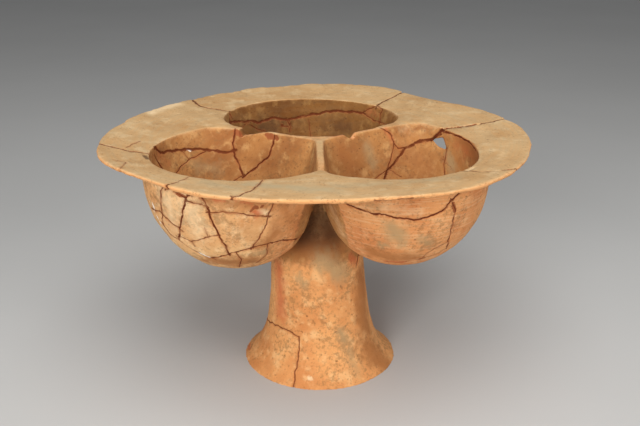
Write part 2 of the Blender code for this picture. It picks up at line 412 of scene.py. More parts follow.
@dataclass
class Bowl(RingedForm):
    """A bowl's outer form, or its inside, where wall is the clay's thickness."""

    mouth: Mouth = PLAN.rear
    wall: float = 0.0
    top: float = PLAN.rim_height - PLAN.lip
    blend_depth: float = 75 * MM
    corner_by_axis: float = 9 * MM
    corner_softening: float = 1 * MM
    least_facing: float = 0.01
    round_rings: int = 26
    upright_rings: int = 6
    tip: float = 0.2 * MM

    def mouth_reach(self, turns: Array) -> Array:
        """Return the distances from the bowl's middle to its mouth's edge.

        Args:
            turns: The turns from outwards.

        Returns:
            One length for each turn, cut off by the walls that the bowl shares.
        """
        heading = unit(self.mouth.direction + turns)
        to_meeting = PLAN.walls_meet - unit(self.mouth.direction) * PLAN.bowl_offset
        reach = self.mouth.oval_reach((0, 0), turns)
        wall_reaches = []
        for wall in PLAN.walls:
            aside = turn_between(self.mouth.direction, wall.direction)
            if abs(aside) < 90:
                outward = unit(wall.direction + math.copysign(90, aside))
                facing = np.maximum(heading @ outward, self.least_facing)
                wall_reach = (to_meeting @ outward - PLAN.partition / 2) / facing
                wall_reaches.append(wall_reach)
                reach = soft_min(reach, wall_reach, wall.rounding)
        corner = soft_min(*wall_reaches, self.corner_by_axis)
        return soft_min(reach, corner, self.corner_softening)

    def section(self, height: float) -> float:
        """Return the bowl's round radius at a height."""
        left = 1 - (abs(height - PLAN.equator) / (PLAN.bowl_depth - self.wall)) ** PLAN.bowl_fullness
        return (PLAN.bowl_radius - self.wall) * max(left, 0) ** (1 / PLAN.bowl_fullness)

    def reach(self, turns: Array, height: float) -> Array:
        """Return the distances from the bowl's middle line to its side at a height.

        Args:
            turns: The turns from outwards.
            height: The height over the ground.

        Returns:
            One length for each turn. The side goes straight up over the lip.
        """
        level = PLAN.rim_height if height > PLAN.rim_height - 2 * PLAN.lip else height
        depth = PLAN.rim_height - level
        blend = max(1 - depth / self.blend_depth, 0) ** 2
        at_mouth = self.mouth_reach(turns) + PLAN.bowl_wall - self.wall
        return self.section(level) + (at_mouth - self.section(PLAN.rim_height)) * blend

    def rings(self, turns: Array) -> list[Array]:
        """Return the bowl's rings, from its lowest point up.

        Args:
            turns: The turn of each corner.

        Returns:
            One array of points for each ring.
        """
        depth = PLAN.bowl_depth - self.wall
        shares = np.linspace(0, 1, self.round_rings + 1)
        heights = list(PLAN.equator - depth * np.cos(shares * math.pi / 2))
        lip = PLAN.rim_height - PLAN.lip
        heights += list(np.linspace(PLAN.equator, lip, self.upright_rings + 1)[1:])
        if self.top > lip:
            heights.append(self.top)
        signed = turn_between(0, turns)
        result = []
        for height in heights:
            reach = np.maximum(self.reach(signed, height), self.tip)
            outward = unit(self.mouth.direction + turns) * reach[:, None]
            side = PLAN.middle_line(self.mouth, height) + outward
            result.append(np.column_stack((side, np.full(len(turns), height))))
        return result


@dataclass(frozen=True)
class EdgeChip:
    """A piece lost from the brim's edge: where it starts, how far round it runs, its depth."""

    start: float
    run: float
    depth: float


@dataclass
class Brim(RingedForm):
    """The broad brim, a plate that rises to its worn edge, over the bowls' mouths.

    Its radius is a little over the solid's, because smoothing the skin takes some off, and
    what is left past the solid's box is held back to it in the end.
    """

    radius: float = 187.4 * MM
    rise: float = 5.5 * MM
    root: float = 7 * MM
    edge: float = 3.5 * MM
    rounding: float = 1.2 * MM
    over_mouths: float = 8 * MM
    worn: float = 0.35 * MM
    ragged: float = 1.3 * MM
    ragged_from: float = 62
    ragged_to: float = 158
    ragged_blend: float = 8
    nick_sizes: tuple[float, ...] = mm(16, 6)
    small_nicks: float = 0.6
    most_nick: float = 1.4
    swells: tuple[float, ...] = mm(
        2.5, -3, -9.5, 7, 13, 5.5, -1.5, -6.5, -2.5, 2.5, 6.5, -2.5, -2, -7, -7, 3, 4.5, 2.5)
    chips: tuple[EdgeChip, ...] = (
        EdgeChip(56, -26, 9 * MM),
        EdgeChip(56, 9, 6 * MM),
        EdgeChip(97.5, 8, 4 * MM),
        EdgeChip(97.5, -8, 4 * MM),
        EdgeChip(112.5, 26, 4 * MM),
        EdgeChip(11, -8, 2.5 * MM),
        EdgeChip(164, 9, 2.5 * MM),
        EdgeChip(247, 5, 1.5 * MM),
    )

    def swell(self, turns: Array) -> Array:
        """Return the brim's swell in each direction, on a smooth curve.

        Args:
            turns: The directions.

        Returns:
            One length for each direction.
        """
        count = len(self.swells)
        place = (turns % 360) * count / 360
        step = np.floor(place).astype(int)
        t = place - step
        before, start, end, after = (np.take(self.swells, (step + k) % count) for k in (-1, 0, 1, 2))
        rise = start + (end - start) * t * t * (3 - 2 * t)
        return rise + (end - before) / 2 * t * (1 - t) ** 2 - (after - start) / 2 * t * t * (1 - t)

    def lost(self, turns: Array) -> Array:
        """Return the depth lost from the edge in each direction, to chips and wear.

        Args:
            turns: The directions.

        Returns:
            One length for each direction.
        """
        total = np.zeros(len(turns))
        for chip in self.chips:
            share = turn_between(chip.start, turns) / chip.run
            total += np.where((share >= 0) & (share < 1), chip.depth * (1 - share), 0)
        round_edge = unit(turns) * self.radius
        blend, turn = self.ragged_blend, turns % 360
        behind = smooth_step(self.ragged_from - blend, self.ragged_from + blend, turn)
        behind *= 1 - smooth_step(self.ragged_to - blend, self.ragged_to + blend, turn)
        depth = self.worn + self.ragged * behind
        large, small = self.nick_sizes
        nicks = ripple(round_edge, large, 11) + self.small_nicks * ripple(round_edge, small, 12)
        return total + depth * np.clip(nicks, 0, self.most_nick)

    def reach(self, turns: Array) -> Array:
        """Return the distances from the axis to the brim's edge."""
        return self.radius + self.swell(turns) - self.lost(turns)

    def rings(self, turns: Array) -> list[Array]:
        """Return the brim's rings, over its top and back along its underside.

        Args:
            turns: The turn of each corner.

        Returns:
            One array of points for each ring.
        """
        mouths, edge = PLAN.trefoil_reach(turns), self.reach(turns)
        top = PLAN.rim_height + self.rise
        return [
            ring(turns, mouths - self.over_mouths, PLAN.rim_height - PLAN.partition_drop),
            ring(turns, mouths - PLAN.lip, PLAN.rim_height),
            ring(turns, edge - self.rounding, top),
            ring(turns, edge, top - self.rounding),
            ring(turns, edge - self.rounding, top - self.edge),
            ring(turns, mouths + PLAN.bowl_wall, PLAN.rim_height - self.root),
        ]


@dataclass
class Stem(RingedForm):
    """The stem and its flared foot, as a solid form."""

    radius: float = 48 * MM
    taper: float = 0.045
    thickness: float = 8 * MM
    top: float = 176 * MM
    hollow_top: float = 160 * MM
    foot_radius: float = 73.2 * MM
    flare_height: float = 19 * MM
    flare_bend: float = 0.94
    foot_ring: float = 6 * MM
    foot_shift: tuple[float, ...] = mm(3.4, -1.1)
    flare_rings: int = 16
    flare_end: float = 3
    upper_rings: int = 14
    least_step: float = 1 * MM

    def outer(self, height: float | Array) -> Any:
        """Return the outer radius at a height."""
        flare = np.exp(-(np.maximum(height / self.flare_height, 0) ** self.flare_bend))
        return self.radius - self.taper * height + (self.foot_radius - self.radius) * flare

    def heights(self) -> list[float]:
        """Return the rings' heights, close together where the foot flares.

        Returns:
            The heights, from the ground up.
        """
        flare_top = self.flare_height * self.flare_end
        flare = [flare_top * (k / self.flare_rings) ** 2 for k in range(self.flare_rings)]
        return flare + list(np.linspace(flare_top, self.top, self.upper_rings + 1))

    def centre(self, height: float | Array) -> Array:
        """Return the middle of the stem at a height, from the vessel's axis."""
        share = 1 - np.asarray(height) / self.top
        return np.multiply.outer(share, self.foot_shift)

    def turned(self, turns: Array, profile: list[tuple[float, float]]) -> list[Array]:
        """Return a ring round the stem for each radius and height of a profile."""
        return [ring(turns, radius, height) + (*self.centre(height), 0)
                for radius, height in profile]

    def rings(self, turns: Array) -> list[Array]:
        """Return the rings of the outer form, from the foot up."""
        return self.turned(turns, [(self.outer(height), height) for height in self.heights()])


@dataclass
class StemHollow(Stem):
    """The hollow of the stem and foot, one wall inside their outer form."""

    def rings(self, turns: Array) -> list[Array]:
        """Return the hollow's rings, from below the foot up.

        Args:
            turns: The turn of each corner.

        Returns:
            One array of points for each ring.
        """
        mouth = self.foot_radius - self.foot_ring
        profile = [(mouth, -PLAN.cut_past), (mouth, 0.0)]
        step = self.least_step
        for height in self.heights()[1:]:
            rise = self.outer(height + step) - self.outer(height - step)
            across, up = np.array((2 * step, -rise)) / math.hypot(2 * step, rise)
            radius = self.outer(height) - across * self.thickness
            level = height - up * self.thickness
            last_radius, last_level = profile[-1]
            if last_level + step < level < self.hollow_top - step and radius < last_radius:
                profile.append((radius, level))
        profile.append((self.outer(self.hollow_top) - self.thickness, self.hollow_top))
        return self.turned(turns, profile)


@dataclass
class WallBreak(RingedForm):
    """The cutter for a break along the top of a shared wall.

    Attributes:
        wall: The wall that is broken.
        outline: Places along the wall from the axis and heights over its top, in millimetres.
    """

    wall: SharedWall = PLAN.rear_left_wall
    outline: tuple[tuple[float, float], ...] = ()

    @property
    def top(self) -> float:
        """The height of the wall's top."""
        return PLAN.rim_height - PLAN.partition_drop

    def rings(self, turns: Array) -> list[Array]:
        """Return the cutter's two ends, one on each side of the wall.

        Args:
            turns: The turn of each corner; not used here.

        Returns:
            One array of points for each ring.
        """
        out, across = unit(self.wall.direction), unit(self.wall.direction + 90)
        ends = []
        for side in (-PLAN.cut_past, PLAN.cut_past):
            ends.append(np.array([(*(out * along + across * side), self.top + over)
                                  for along, over in (mm(*spot) for spot in self.outline)]))
        return ends


@dataclass
class Hole(RingedForm):
    """The cutter for the hole in the right bowl's outer wall."""

    mouth: Mouth = PLAN.right
    corners: tuple[tuple[float, float], ...] = (
        (63, 11.5 * MM), (61, 14 * MM), (57.5, 16.5 * MM), (49.5, 17.5 * MM), (55, 7 * MM),
    )
    heading: float = 78
    slope: float = -16
    inside: Bowl = field(default_factory=lambda: Bowl("", 0, PLAN.right, PLAN.bowl_wall))

    def rings(self, turns: Array) -> list[Array]:
        """Return the cutter's two ends, inside the bowl and outside.

        Args:
            turns: The turn of each corner; not used here.

        Returns:
            One array of points for each ring.
        """
        slope = unit(self.slope)
        way = np.array((*(unit(self.heading) * slope[0]), slope[1]))
        ends = []
        for reach in (-PLAN.cut_past, 2 * PLAN.cut_past):
            end = []
            for direction, depth in self.corners:
                height = PLAN.rim_height - depth
                wall = self.inside.reach(turn_between(self.mouth.direction, direction), height)
                corner = PLAN.middle_line(self.mouth, height) + unit(direction) * wall
                end.append(np.array((*corner, height)) + way * reach)
            ends.append(np.array(end))
        return ends


class Face(Enum):
    """A face of the vessel that a seam or mark is on."""

    BRIM = "brim"
    EDGE = "brim's edge"
    REAR_INSIDE = "rear inside"
    LEFT_INSIDE = "left inside"
    RIGHT_INSIDE = "right inside"
    REAR_OUTSIDE = "rear outside"
    LEFT_OUTSIDE = "left outside"
    RIGHT_OUTSIDE = "right outside"
    STEM = "stem"

    @property
    def mouth(self) -> Mouth:
        """The mouth of the bowl that the face belongs to."""
        return getattr(PLAN, self.value.split()[0])

    @property
    def is_inside(self) -> bool:
        """Whether the face is a bowl's inside."""
        return self.value.endswith("inside")


@dataclass(frozen=True)
class PhotoCamera:
    """The camera, where the photograph was taken from. Pixels are the photograph's own."""

    place: tuple[float, float, float] = (-51.3 * MM, -783.0 * MM, 440.5 * MM)
    pitch: float = 20.86
    yaw: float = 4.08
    lens: float = 50
    sensor: float = 36
    width: int = 640
    height: int = 426

    @property
    def turn(self) -> Matrix:
        """The camera's own axes, as the columns of a matrix."""
        return Euler((math.radians(90 - self.pitch), 0, -math.radians(self.yaw))).to_matrix()

    def ray(self, pixel: Pixel) -> Vector:
        """Return the direction that a pixel looks in.

        Args:
            pixel: The pixel.

        Returns:
            The direction, one unit long.
        """
        scale = self.sensor / self.width / self.lens
        across, up = pixel[0] - self.width / 2, self.height / 2 - pixel[1]
        return (self.turn @ Vector((across * scale, up * scale, -1))).normalized()

    def build(self) -> None:
        """Set the scene's camera up."""
        bpy.ops.object.camera_add(location=self.place, rotation=self.turn.to_euler())
        camera = bpy.context.active_object
        camera.name = "photo_camera"
        camera.data.lens = self.lens
        camera.data.sensor_width = self.sensor
        bpy.context.scene.camera = camera


CAMERA = PhotoCamera()


@dataclass
class Tracer:
    """Finds the vessel's surface under pixels, and under places named round the vessel."""

    tree: BVHTree
    stem: Stem
    most_hits: int = 10
    past: float = 0.05 * MM
    level_from: float = 0.6
    brim_depth: float = 3 * MM
    bowl_reach: float = 1.5

    def on_face(self, face: Face, place: Vector, normal: Vector) -> bool:
        """Return whether a point of the surface is on a face.

        Args:
            face: The face asked about.
            place: The point.
            normal: The surface's direction there.

        Returns:
            True if it is.
        """
        if face is Face.BRIM:
            return normal.z > self.level_from and place.z > PLAN.rim_height - self.brim_depth
        if face is Face.EDGE:
            return normal.z <= self.level_from and place.z > PLAN.rim_height
        if face is Face.STEM:
            out = np.array(place.xy) - PLAN.axis - self.stem.centre(place.z)
            return place.z < PLAN.equator and Vector((*out, 0)).dot(normal) > 0
        from_middle = place - Vector(PLAN.middle(face.mouth))
        near = from_middle.xy.length < self.bowl_reach * PLAN.bowl_radius
        return near and (from_middle.dot(normal) < 0) == face.is_inside and place.z < PLAN.rim_height

    def first(self, start: Vector, heading: Vector, face: Face) -> tuple[Vector, Vector] | None:
        """Return where a ray first meets a face.

        Args:
            start: Where the ray starts.
            heading: The way it goes.
            face: The face that it looks for, past others.

        Returns:
            The point and the surface's direction there, or None.
        """
        for _ in range(self.most_hits):
            place, normal, _index, _distance = self.tree.ray_cast(start, heading)
            if place is None:
                return None
            if self.on_face(face, place, normal):
                return place, normal
            start = place + heading * self.past
        return None

    def under_pixel(self, pixel: Pixel, face: Face) -> tuple[Vector, Vector] | None:
        """Return the point of a face that a pixel of the photograph shows."""
        return self.first(Vector(CAMERA.place), CAMERA.ray(pixel), face)

    def round_about(self, spot: Pixel, face: Face) -> tuple[Vector, Vector] | None:
        """Return the point of a face at a direction and a level.

        Args:
            spot: The direction from the bowl's or stem's middle, and the depth under the rim
                in millimetres, or on the stem the height over the ground.
            face: A bowl's outside, or the stem.

        Returns:
            The point and the surface's direction there, or None.
        """
        heading = Vector((*unit(spot[0]), 0))
        if face is Face.STEM:
            height = spot[1] * MM
            level = np.array(PLAN.axis) + self.stem.centre(height)
            return self.first(Vector((*level, height)), heading, face)
        middle = PLAN.middle(face.mouth)
        start = Vector((middle[0], middle[1], PLAN.rim_height - spot[1] * MM))
        return self.first(start, heading, face)


class SeamKind(Enum):
    """How open a seam is: its width and depth in metres, and how dark it looks."""

    HAIRLINE = (0.6 * MM, 0.0, 0.6)
    FINE = (0.85 * MM, 0.25 * MM, 0.85)
    OPEN = (1.35 * MM, 0.7 * MM, 1.0)
    WORN = (2.3 * MM, 0.5 * MM, 0.9)
    GAPING = (3.2 * MM, 2.4 * MM, 1.0)

    @property
    def width(self) -> float:
        """The seam's usual width."""
        return self.value[0]

    @property
    def depth(self) -> float:
        """The seam's depth."""
        return self.value[1]

    @property
    def darkness(self) -> float:
        """How dark the seam looks, from 0 to 1."""
        return self.value[2]


@dataclass
class Strip:
    """A seam laid on the surface, as a strip that runs from there into the wall.

    Attributes:
        places: Its points.
        normals: The surface's directions there.
        widths: Its widths there.
        kind: How open it is.
        lift: How far one side stands over the other.
        into_wall: How far it runs into the wall.
        on_brim: Whether it shows on the brim's top.
    """

    places: Array
    normals: Array
    widths: Array
    kind: SeamKind
    lift: float
    into_wall: float
    on_brim: bool
    over_surface: float = 2.5 * MM
    margin: float = 8 * MM

    def measure(self, points: Array) -> tuple[Array, Array, Array, Array]:
        """Return which points are near the seam, and how near.

        Args:
            points: The points, in rows.

        Returns:
            The near points' numbers, their distances to the strip, how far they are to its
            right or, below 0, to its left, and the seam's width there.
        """
        reach = self.margin + self.into_wall
        low, high = self.places.min(0) - reach, self.places.max(0) + reach
        near = np.flatnonzero(np.all((points > low) & (points < high), axis=1))
        if not self.on_brim:
            near = near[~PLAN.on_brim(points[near])]
        own = points[near]
        best = np.full(len(near), np.inf)
        side, width = np.zeros(len(near)), np.ones(len(near))
        for k in range(len(self.places) - 1):
            run = self.places[k + 1] - self.places[k]
            length = np.linalg.norm(run)
            run = run / length
            normal = self.normals[k] + self.normals[k + 1]
            normal -= run * (normal @ run)
            normal /= np.linalg.norm(normal)
            offset = own - self.places[k]
            along, over, aside = offset @ run, offset @ normal, offset @ np.cross(run, normal)
            past_end = np.maximum(np.maximum(-along, along - length), 0)
            past_wall = np.maximum(np.maximum(over - self.over_surface, -self.into_wall - over), 0)
            distance = np.sqrt(aside**2 + past_end**2 + past_wall**2)
            closer = distance < best
            best[closer], side[closer] = distance[closer], aside[closer]
            share = np.clip(along[closer] / length, 0, 1)
            width[closer] = self.widths[k] * (1 - share) + self.widths[k + 1] * share
        return near, best, side, width


@dataclass(frozen=True)
class BreakHabit:
    """How breaks run: their short steps, their waver, and how they widen and step up."""

    step: float = 1.8 * MM
    run_on: float = 1.5 * MM
    waver: float = 0.42 * MM
    turns: tuple[float, ...] = mm(15, 5)
    short_turns: float = 0.6
    still_end: float = 4 * MM
    swelling: float = 0.32
    swell_size: float = 11 * MM
    usual_lift: float = 0.16 * MM
    lift_signs: float = 1.7
    into_edge: float = 2 * MM
    into_hidden: float = 3 * MM
    into_seen: float = 9 * MM
    search_step: float = 0.5


HABIT = BreakHabit()


@dataclass(frozen=True)
class Seam:
    """A break's seam, where two sherds of the vessel have been put together.

    Attributes:
        name: What it is called in the log.
        face: The face that it is read on.
        points: Pixels of the photograph, or spots round the vessel if it is hidden.
        kind: How open it is.
        lift: How far its right side stands over its left, or below 0 the other way. Where it
            isn't given, the step is small and either way.
        hidden: Whether the photograph doesn't show it.
        most_steps: How far beside a point the surface is looked for, in pixels or degrees.
    """

    name: str
    face: Face
    points: tuple[Pixel, ...]
    kind: SeamKind = SeamKind.FINE
    lift: float = 0.0
    hidden: bool = False
    most_steps: float = 5.0

    def strip(self, tracer: Tracer, seed: int) -> Strip | None:
        """Lay the seam on the surface, with the small turns of a real break.

        Args:
            tracer: What finds the surface.
            seed: Which small turns it gets.

        Returns:
            The strip, or None if the surface isn't found.
        """
        found = [hit for hit in (self.hit(tracer, point) for point in self.points) if hit]
        if len(found) < len(self.points):
            log.warning("%s, %s: %d of %d points found", self.face.value, self.name,
                        len(found), len(self.points))
        if len(found) < 2:
            return None
        places = np.array([hit[0][:] for hit in found])
        normals = np.array([hit[1][:] for hit in found])
        return self.worked(places, normals, seed)

    def hit(self, tracer: Tracer, point: Pixel) -> tuple[Vector, Vector] | None:
        """Return the surface at a point, or just beside it towards the seam's middle.

        Args:
            tracer: What finds the surface.
            point: The seam's point.

        Returns:
            The place and the surface's direction there, or None.
        """
        find = tracer.round_about if self.hidden else tracer.under_pixel
        toward = np.mean(self.points, axis=0) - point
        toward /= max(np.linalg.norm(toward), 1e-9)
        for step in np.arange(0, self.most_steps, HABIT.search_step):
            found = find(tuple(point + toward * step), self.face)
            if found:
                return found
        return None

    def worked(self, places: Array, normals: Array, seed: int) -> Strip:
        """Return the strip through points, in short steps that waver.

        Args:
            places: The seam's points.
            normals: The surface's directions there.
            seed: Which waver it gets.

        Returns:
            The strip.
        """
        gaps = np.linalg.norm(np.diff(places, axis=0), axis=1)
        travelled = np.concatenate(([0], np.cumsum(gaps)))
        marks = np.linspace(0, travelled[-1], max(int(travelled[-1] / HABIT.step), 2) + 1)
        even, facing = (np.column_stack([np.interp(marks, travelled, rows[:, k]) for k in range(3)])
                        for rows in (places, normals))
        facing /= np.linalg.norm(facing, axis=1)[:, None]
        runs = np.gradient(even, axis=0)
        runs /= np.linalg.norm(runs, axis=1)[:, None]
        across = np.cross(runs, facing)
        spots = marks[:, None]
        long, short = HABIT.turns
        swing = ripple(spots, long, seed) + HABIT.short_turns * ripple(spots, short, seed + 1)
        held = np.minimum(1, np.minimum(marks, travelled[-1] - marks) / HABIT.still_end)
        even += across * (swing * HABIT.waver * held)[:, None]
        even[0] -= runs[0] * HABIT.run_on
        even[-1] += runs[-1] * HABIT.run_on
        swelling = HABIT.swelling * ripple(spots, HABIT.swell_size, seed + 2)
        widths = self.kind.width * (1 + swelling)
        either_way = HABIT.usual_lift * math.copysign(1, math.sin(seed * HABIT.lift_signs))
        lift = self.lift or either_way
        on_brim = self.face in (Face.BRIM, Face.EDGE)
        into_wall = HABIT.into_hidden if self.hidden else HABIT.into_seen
        if self.face is Face.EDGE:
            into_wall = HABIT.into_edge
        return Strip(even, facing, widths, self.kind, lift, into_wall, on_brim)


HAIRLINE, FINE, OPEN, WORN, GAPING = SeamKind


def seams_on(face: Face, *rows: tuple[Any, ...], hidden: bool = False) -> list[Seam]:
    """Return a face's seams from rows of their names, points and, if unusual, kinds and lifts."""
    return [Seam(name, face, points, *more, hidden=hidden) for name, points, *more in rows]


SEAMS: tuple[Seam, ...] = (
    *seams_on(
        Face.BRIM,
        ("back left", ((190.5, 98.5), (200, 106), (212.5, 108.3), (231, 111.2)), WORN),
        ("left", ((97, 143), (113, 147), (130, 151), (146, 153.5))),
        ("left branch", ((128, 146.5), (134, 144), (139, 142)), HAIRLINE),
        ("left spur", ((116, 160), (126, 162), (120.6, 168)), HAIRLINE),
        ("front left faint", ((191, 176.5), (182, 180), (173, 183.5)), HAIRLINE),
        ("front left", ((261.8, 180.6), (256.8, 186.3), (249, 191.7), (240, 195.2), (232, 197.4))),
        ("back right", ((401.5, 92.8), (387.5, 99.7), (377.5, 105.4)), WORN),
        ("right", ((507, 118.4), (492, 121.8), (476.6, 124.7)), WORN),
        ("right by the hole", ((478, 124.5), (466, 126), (456, 127.4), (446, 128.8)), GAPING),
        ("right front", ((462, 170.6), (479.7, 171.9), (501.6, 170.8), (513, 168.4)), WORN),
    ),
    *seams_on(
        Face.EDGE,
        ("left", ((163.2, 184.2), (165, 186), (166.8, 187.6)), OPEN),
        ("front left", ((232.2, 197.8), (232.4, 199.6))),
        ("front right", ((378, 201), (389, 201.2), (400, 200.2), (410, 198.8))),
    ),
    *seams_on(
        Face.LEFT_INSIDE,
        ("long", ((155.8, 148), (160.4, 152.7), (175.7, 150.4), (197, 148.8), (212.5, 150.4),
         (227.8, 152.7), (234, 150.5)), WORN),
        ("sherd left edge", ((234.7, 131.5), (233, 143.5), (234.7, 155.7), (241.5, 171), (243, 175.6)),
         OPEN),
        ("sherd right edge", ((273.7, 137.8), (272.2, 146.5), (268.3, 156.5), (258.4, 165), (244.6, 176.4)),
         OPEN),
        ("sherd tail", ((243, 175.6), (235.4, 180))),
        ("branch", ((203.3, 152.7), (189.5, 159.5), (181.8, 166.4), (177.2, 171.8))),
        ("spur", ((180, 151), (185, 153.4), (188, 158)), HAIRLINE),
        ("end", ((154.3, 147.5), (155.5, 156), (161.2, 166.4)), OPEN),
    ),
    *seams_on(
        Face.REAR_INSIDE,
        ("start", ((230.3, 113), (230.4, 118), (230.4, 124)), OPEN),
        ("long", ((230.5, 122.8), (235.4, 121.3), (255.3, 121.3), (260, 122.8), (270.6, 118.2),
         (278.3, 118.2), (287.5, 120.2), (304.3, 116), (319.6, 113.6), (328.8, 111.3), (339, 111.4),
         (362, 112.9)), WORN),
        ("fork", ((287.5, 120.2), (290.5, 126.6), (291.3, 135))),
        ("faint", ((249, 122), (243, 127.4)), HAIRLINE),
        ("right", ((362, 112.9), (373.4, 120), (386, 124.7))),
        ("small sherd", ((363, 112.5), (370, 107.9), (378, 106.6), (382.8, 109), (380.5, 115.3),
         (379.7, 121.5))),
        ("drip", ((309, 122), (310.4, 134.3)), HAIRLINE),
    ),
    *seams_on(
        Face.RIGHT_INSIDE,
        ("long", ((384.4, 179.4), (387.5, 170), (393.8, 163.8), (400, 155.2), (406.3, 148),
         (418.8, 141), (432.8, 138.8), (439.5, 135.2)), WORN, -0.55 * MM),
        ("beside the hole", ((415, 143.5), (424, 141.4), (432, 139.5))),
        ("wedge over the hole", ((431.5, 139.4), (436, 136.2), (440.4, 132), (444, 127.8)), GAPING),
        ("upper", ((382.8, 128.9), (390.6, 134), (393.8, 142), (398.4, 149), (403, 148)), FINE, -0.3 * MM),
        ("lower", ((393.8, 143.4), (393, 152.8), (389, 162.2), (387.5, 171.6))),
        ("under hole", ((446.2, 150.5), (445, 157), (443.8, 163.8), (444.5, 174))),
        ("foot", ((376.6, 177.8), (387.5, 170))),
        ("spur", ((389, 169.5), (394, 172), (399, 175.5)), HAIRLINE),
        ("under the lip", ((447, 132.5), (455, 135), (463, 139), (471.5, 144.5), (476, 150)), OPEN),
    ),
    *seams_on(
        Face.LEFT_OUTSIDE,
        ("upper left corner", ((163, 184.5), (166.2, 188), (177, 190), (187, 192.2))),
        ("far left", ((163.4, 187), (161, 191), (160.6, 203), (161.3, 213), (163, 223.4))),
        ("left upright", ((187.6, 192), (184.8, 199), (184, 206.6), (181.3, 217), (180, 225.5),
         (179, 238.2)), OPEN),
        ("chip line", ((175.7, 192.5), (180, 195.4), (184.8, 198.2))),
        ("slanting", ((201, 196.8), (206.6, 206), (208.7, 212.2), (214.3, 227), (219.2, 236),
         (224.8, 245.2), (229, 254.3)), OPEN),
        ("upper short", ((187, 201), (194.6, 203.4), (200.3, 204.5), (206, 206.6))),
        ("level", ((209.4, 212.5), (222.7, 212.2), (233, 213), (240, 213), (250, 215.5), (267.8, 216))),
        ("lower left", ((180, 236), (191, 241.7), (193.2, 244.5))),
        ("middle short", ((192.5, 241.3), (206.6, 237.5), (215.7, 236))),
        ("middle spur", ((207.6, 236), (205.2, 230.4)), HAIRLINE),
        ("left slant", ((152, 208.7), (159, 211.5), (164.5, 217), (174.3, 225.5), (180, 230))),
        ("left low", ((163, 224), (170, 234), (178.5, 239.6))),
        ("low long", ((179.2, 239.6), (194.6, 250.8), (205.2, 256.4), (212.2, 259.2))),
        ("under long", ((212.2, 258.5), (222.7, 256.4), (229, 254.3), (234.6, 253), (252.4, 248),
         (270.3, 243), (283, 240.4), (302, 234)), OPEN),
        ("right curve", ((273, 204), (269, 213.6), (265.2, 226.3), (260, 236.5), (252.4, 248))),
        ("under short", ((237, 254.4), (241, 259.5), (239.7, 266))),
        ("under right", ((267.8, 245), (267.8, 249.3), (266.5, 254.4), (257.6, 262))),
    ),
    *seams_on(
        Face.RIGHT_OUTSIDE,
        ("long arc", ((344, 202.5), (357.4, 208.5), (372.7, 213.6), (389.3, 216), (402, 218.7),
         (414.8, 219.7), (427.6, 217.4), (437.8, 213.6), (446.7, 207.2), (451.8, 200.8), (460.5, 192.3)),
         OPEN),
        ("right drop", ((451.8, 200.8), (455, 208.5), (453.7, 218.7), (451, 230.2), (448.6, 239),
         (446.7, 248))),
        ("low right", ((446.7, 242.3), (435.2, 248), (427.6, 253), (422.4, 258.2)), HAIRLINE),
        ("low edge", ((448.5, 246.5), (436, 254), (422.4, 258.4))),
        ("underside", ((422.4, 259), (406, 262), (390, 262)), OPEN),
    ),
    *seams_on(
        Face.STEM,
        ("foot long", ((267.5, 318.6), (279, 326), (289.6, 331.3), (299, 337.3), (299, 348), (297.7, 360),
         (295, 373.5), (293.4, 387))),
        ("foot short", ((255.3, 339.5), (252.8, 344), (250.6, 348.5))),
        ("stem slit", ((358.3, 257.5), (357.5, 262)), OPEN),
    ),
    *seams_on(
        Face.REAR_OUTSIDE,
        ("rear arc", ((18, 8), (42, 24), (70, 36), (95, 42), (124, 38), (160, 14))),
        ("rear left drop", ((124, 38), (116, 60), (98, 78))),
        ("rear right drop", ((70, 36), (73, 58), (98, 78))),
        ("rear upright", ((95, 42), (98, 24), (93, 9)), HAIRLINE),
        hidden=True,
    ),
    *seams_on(
        Face.LEFT_OUTSIDE,
        ("left rear arc", ((192, 13), (172, 32), (150, 36), (128, 20))),
        ("left rear drop", ((150, 36), (158, 60), (190, 80))),
        hidden=True,
    ),
    *seams_on(
        Face.RIGHT_OUTSIDE,
        ("right rear arc", ((-22, 12), (0, 36), (28, 40), (62, 22))),
        ("right rear drop", ((0, 36), (-8, 60), (-40, 80))),
        hidden=True,
    ),
    *seams_on(Face.STEM, ("foot rear", ((118, 1), (112, 22), (96, 46), (102, 78))), hidden=True),
)


class StainAndPaintedLight(Enum):
    """What a mark on the clay looks like, from stains, chips and repairs to painted shade and painted
    highlights. Each value names the mesh attribute it goes to.
    """

    FRACTURE = "fracture"
    RED = "red_clay"
    GREY = "grey_lime"
    # Pale clay of chips, and painted highlights.
    PALE = "pale_clay"
    WHITE = "white_repair"
    # Dark soil in a chip, and painted shade.
    DARK = "dark_soil"
    # Painted shade: darker clay where shade falls on the vessel.
    DEEP = "deep_clay"


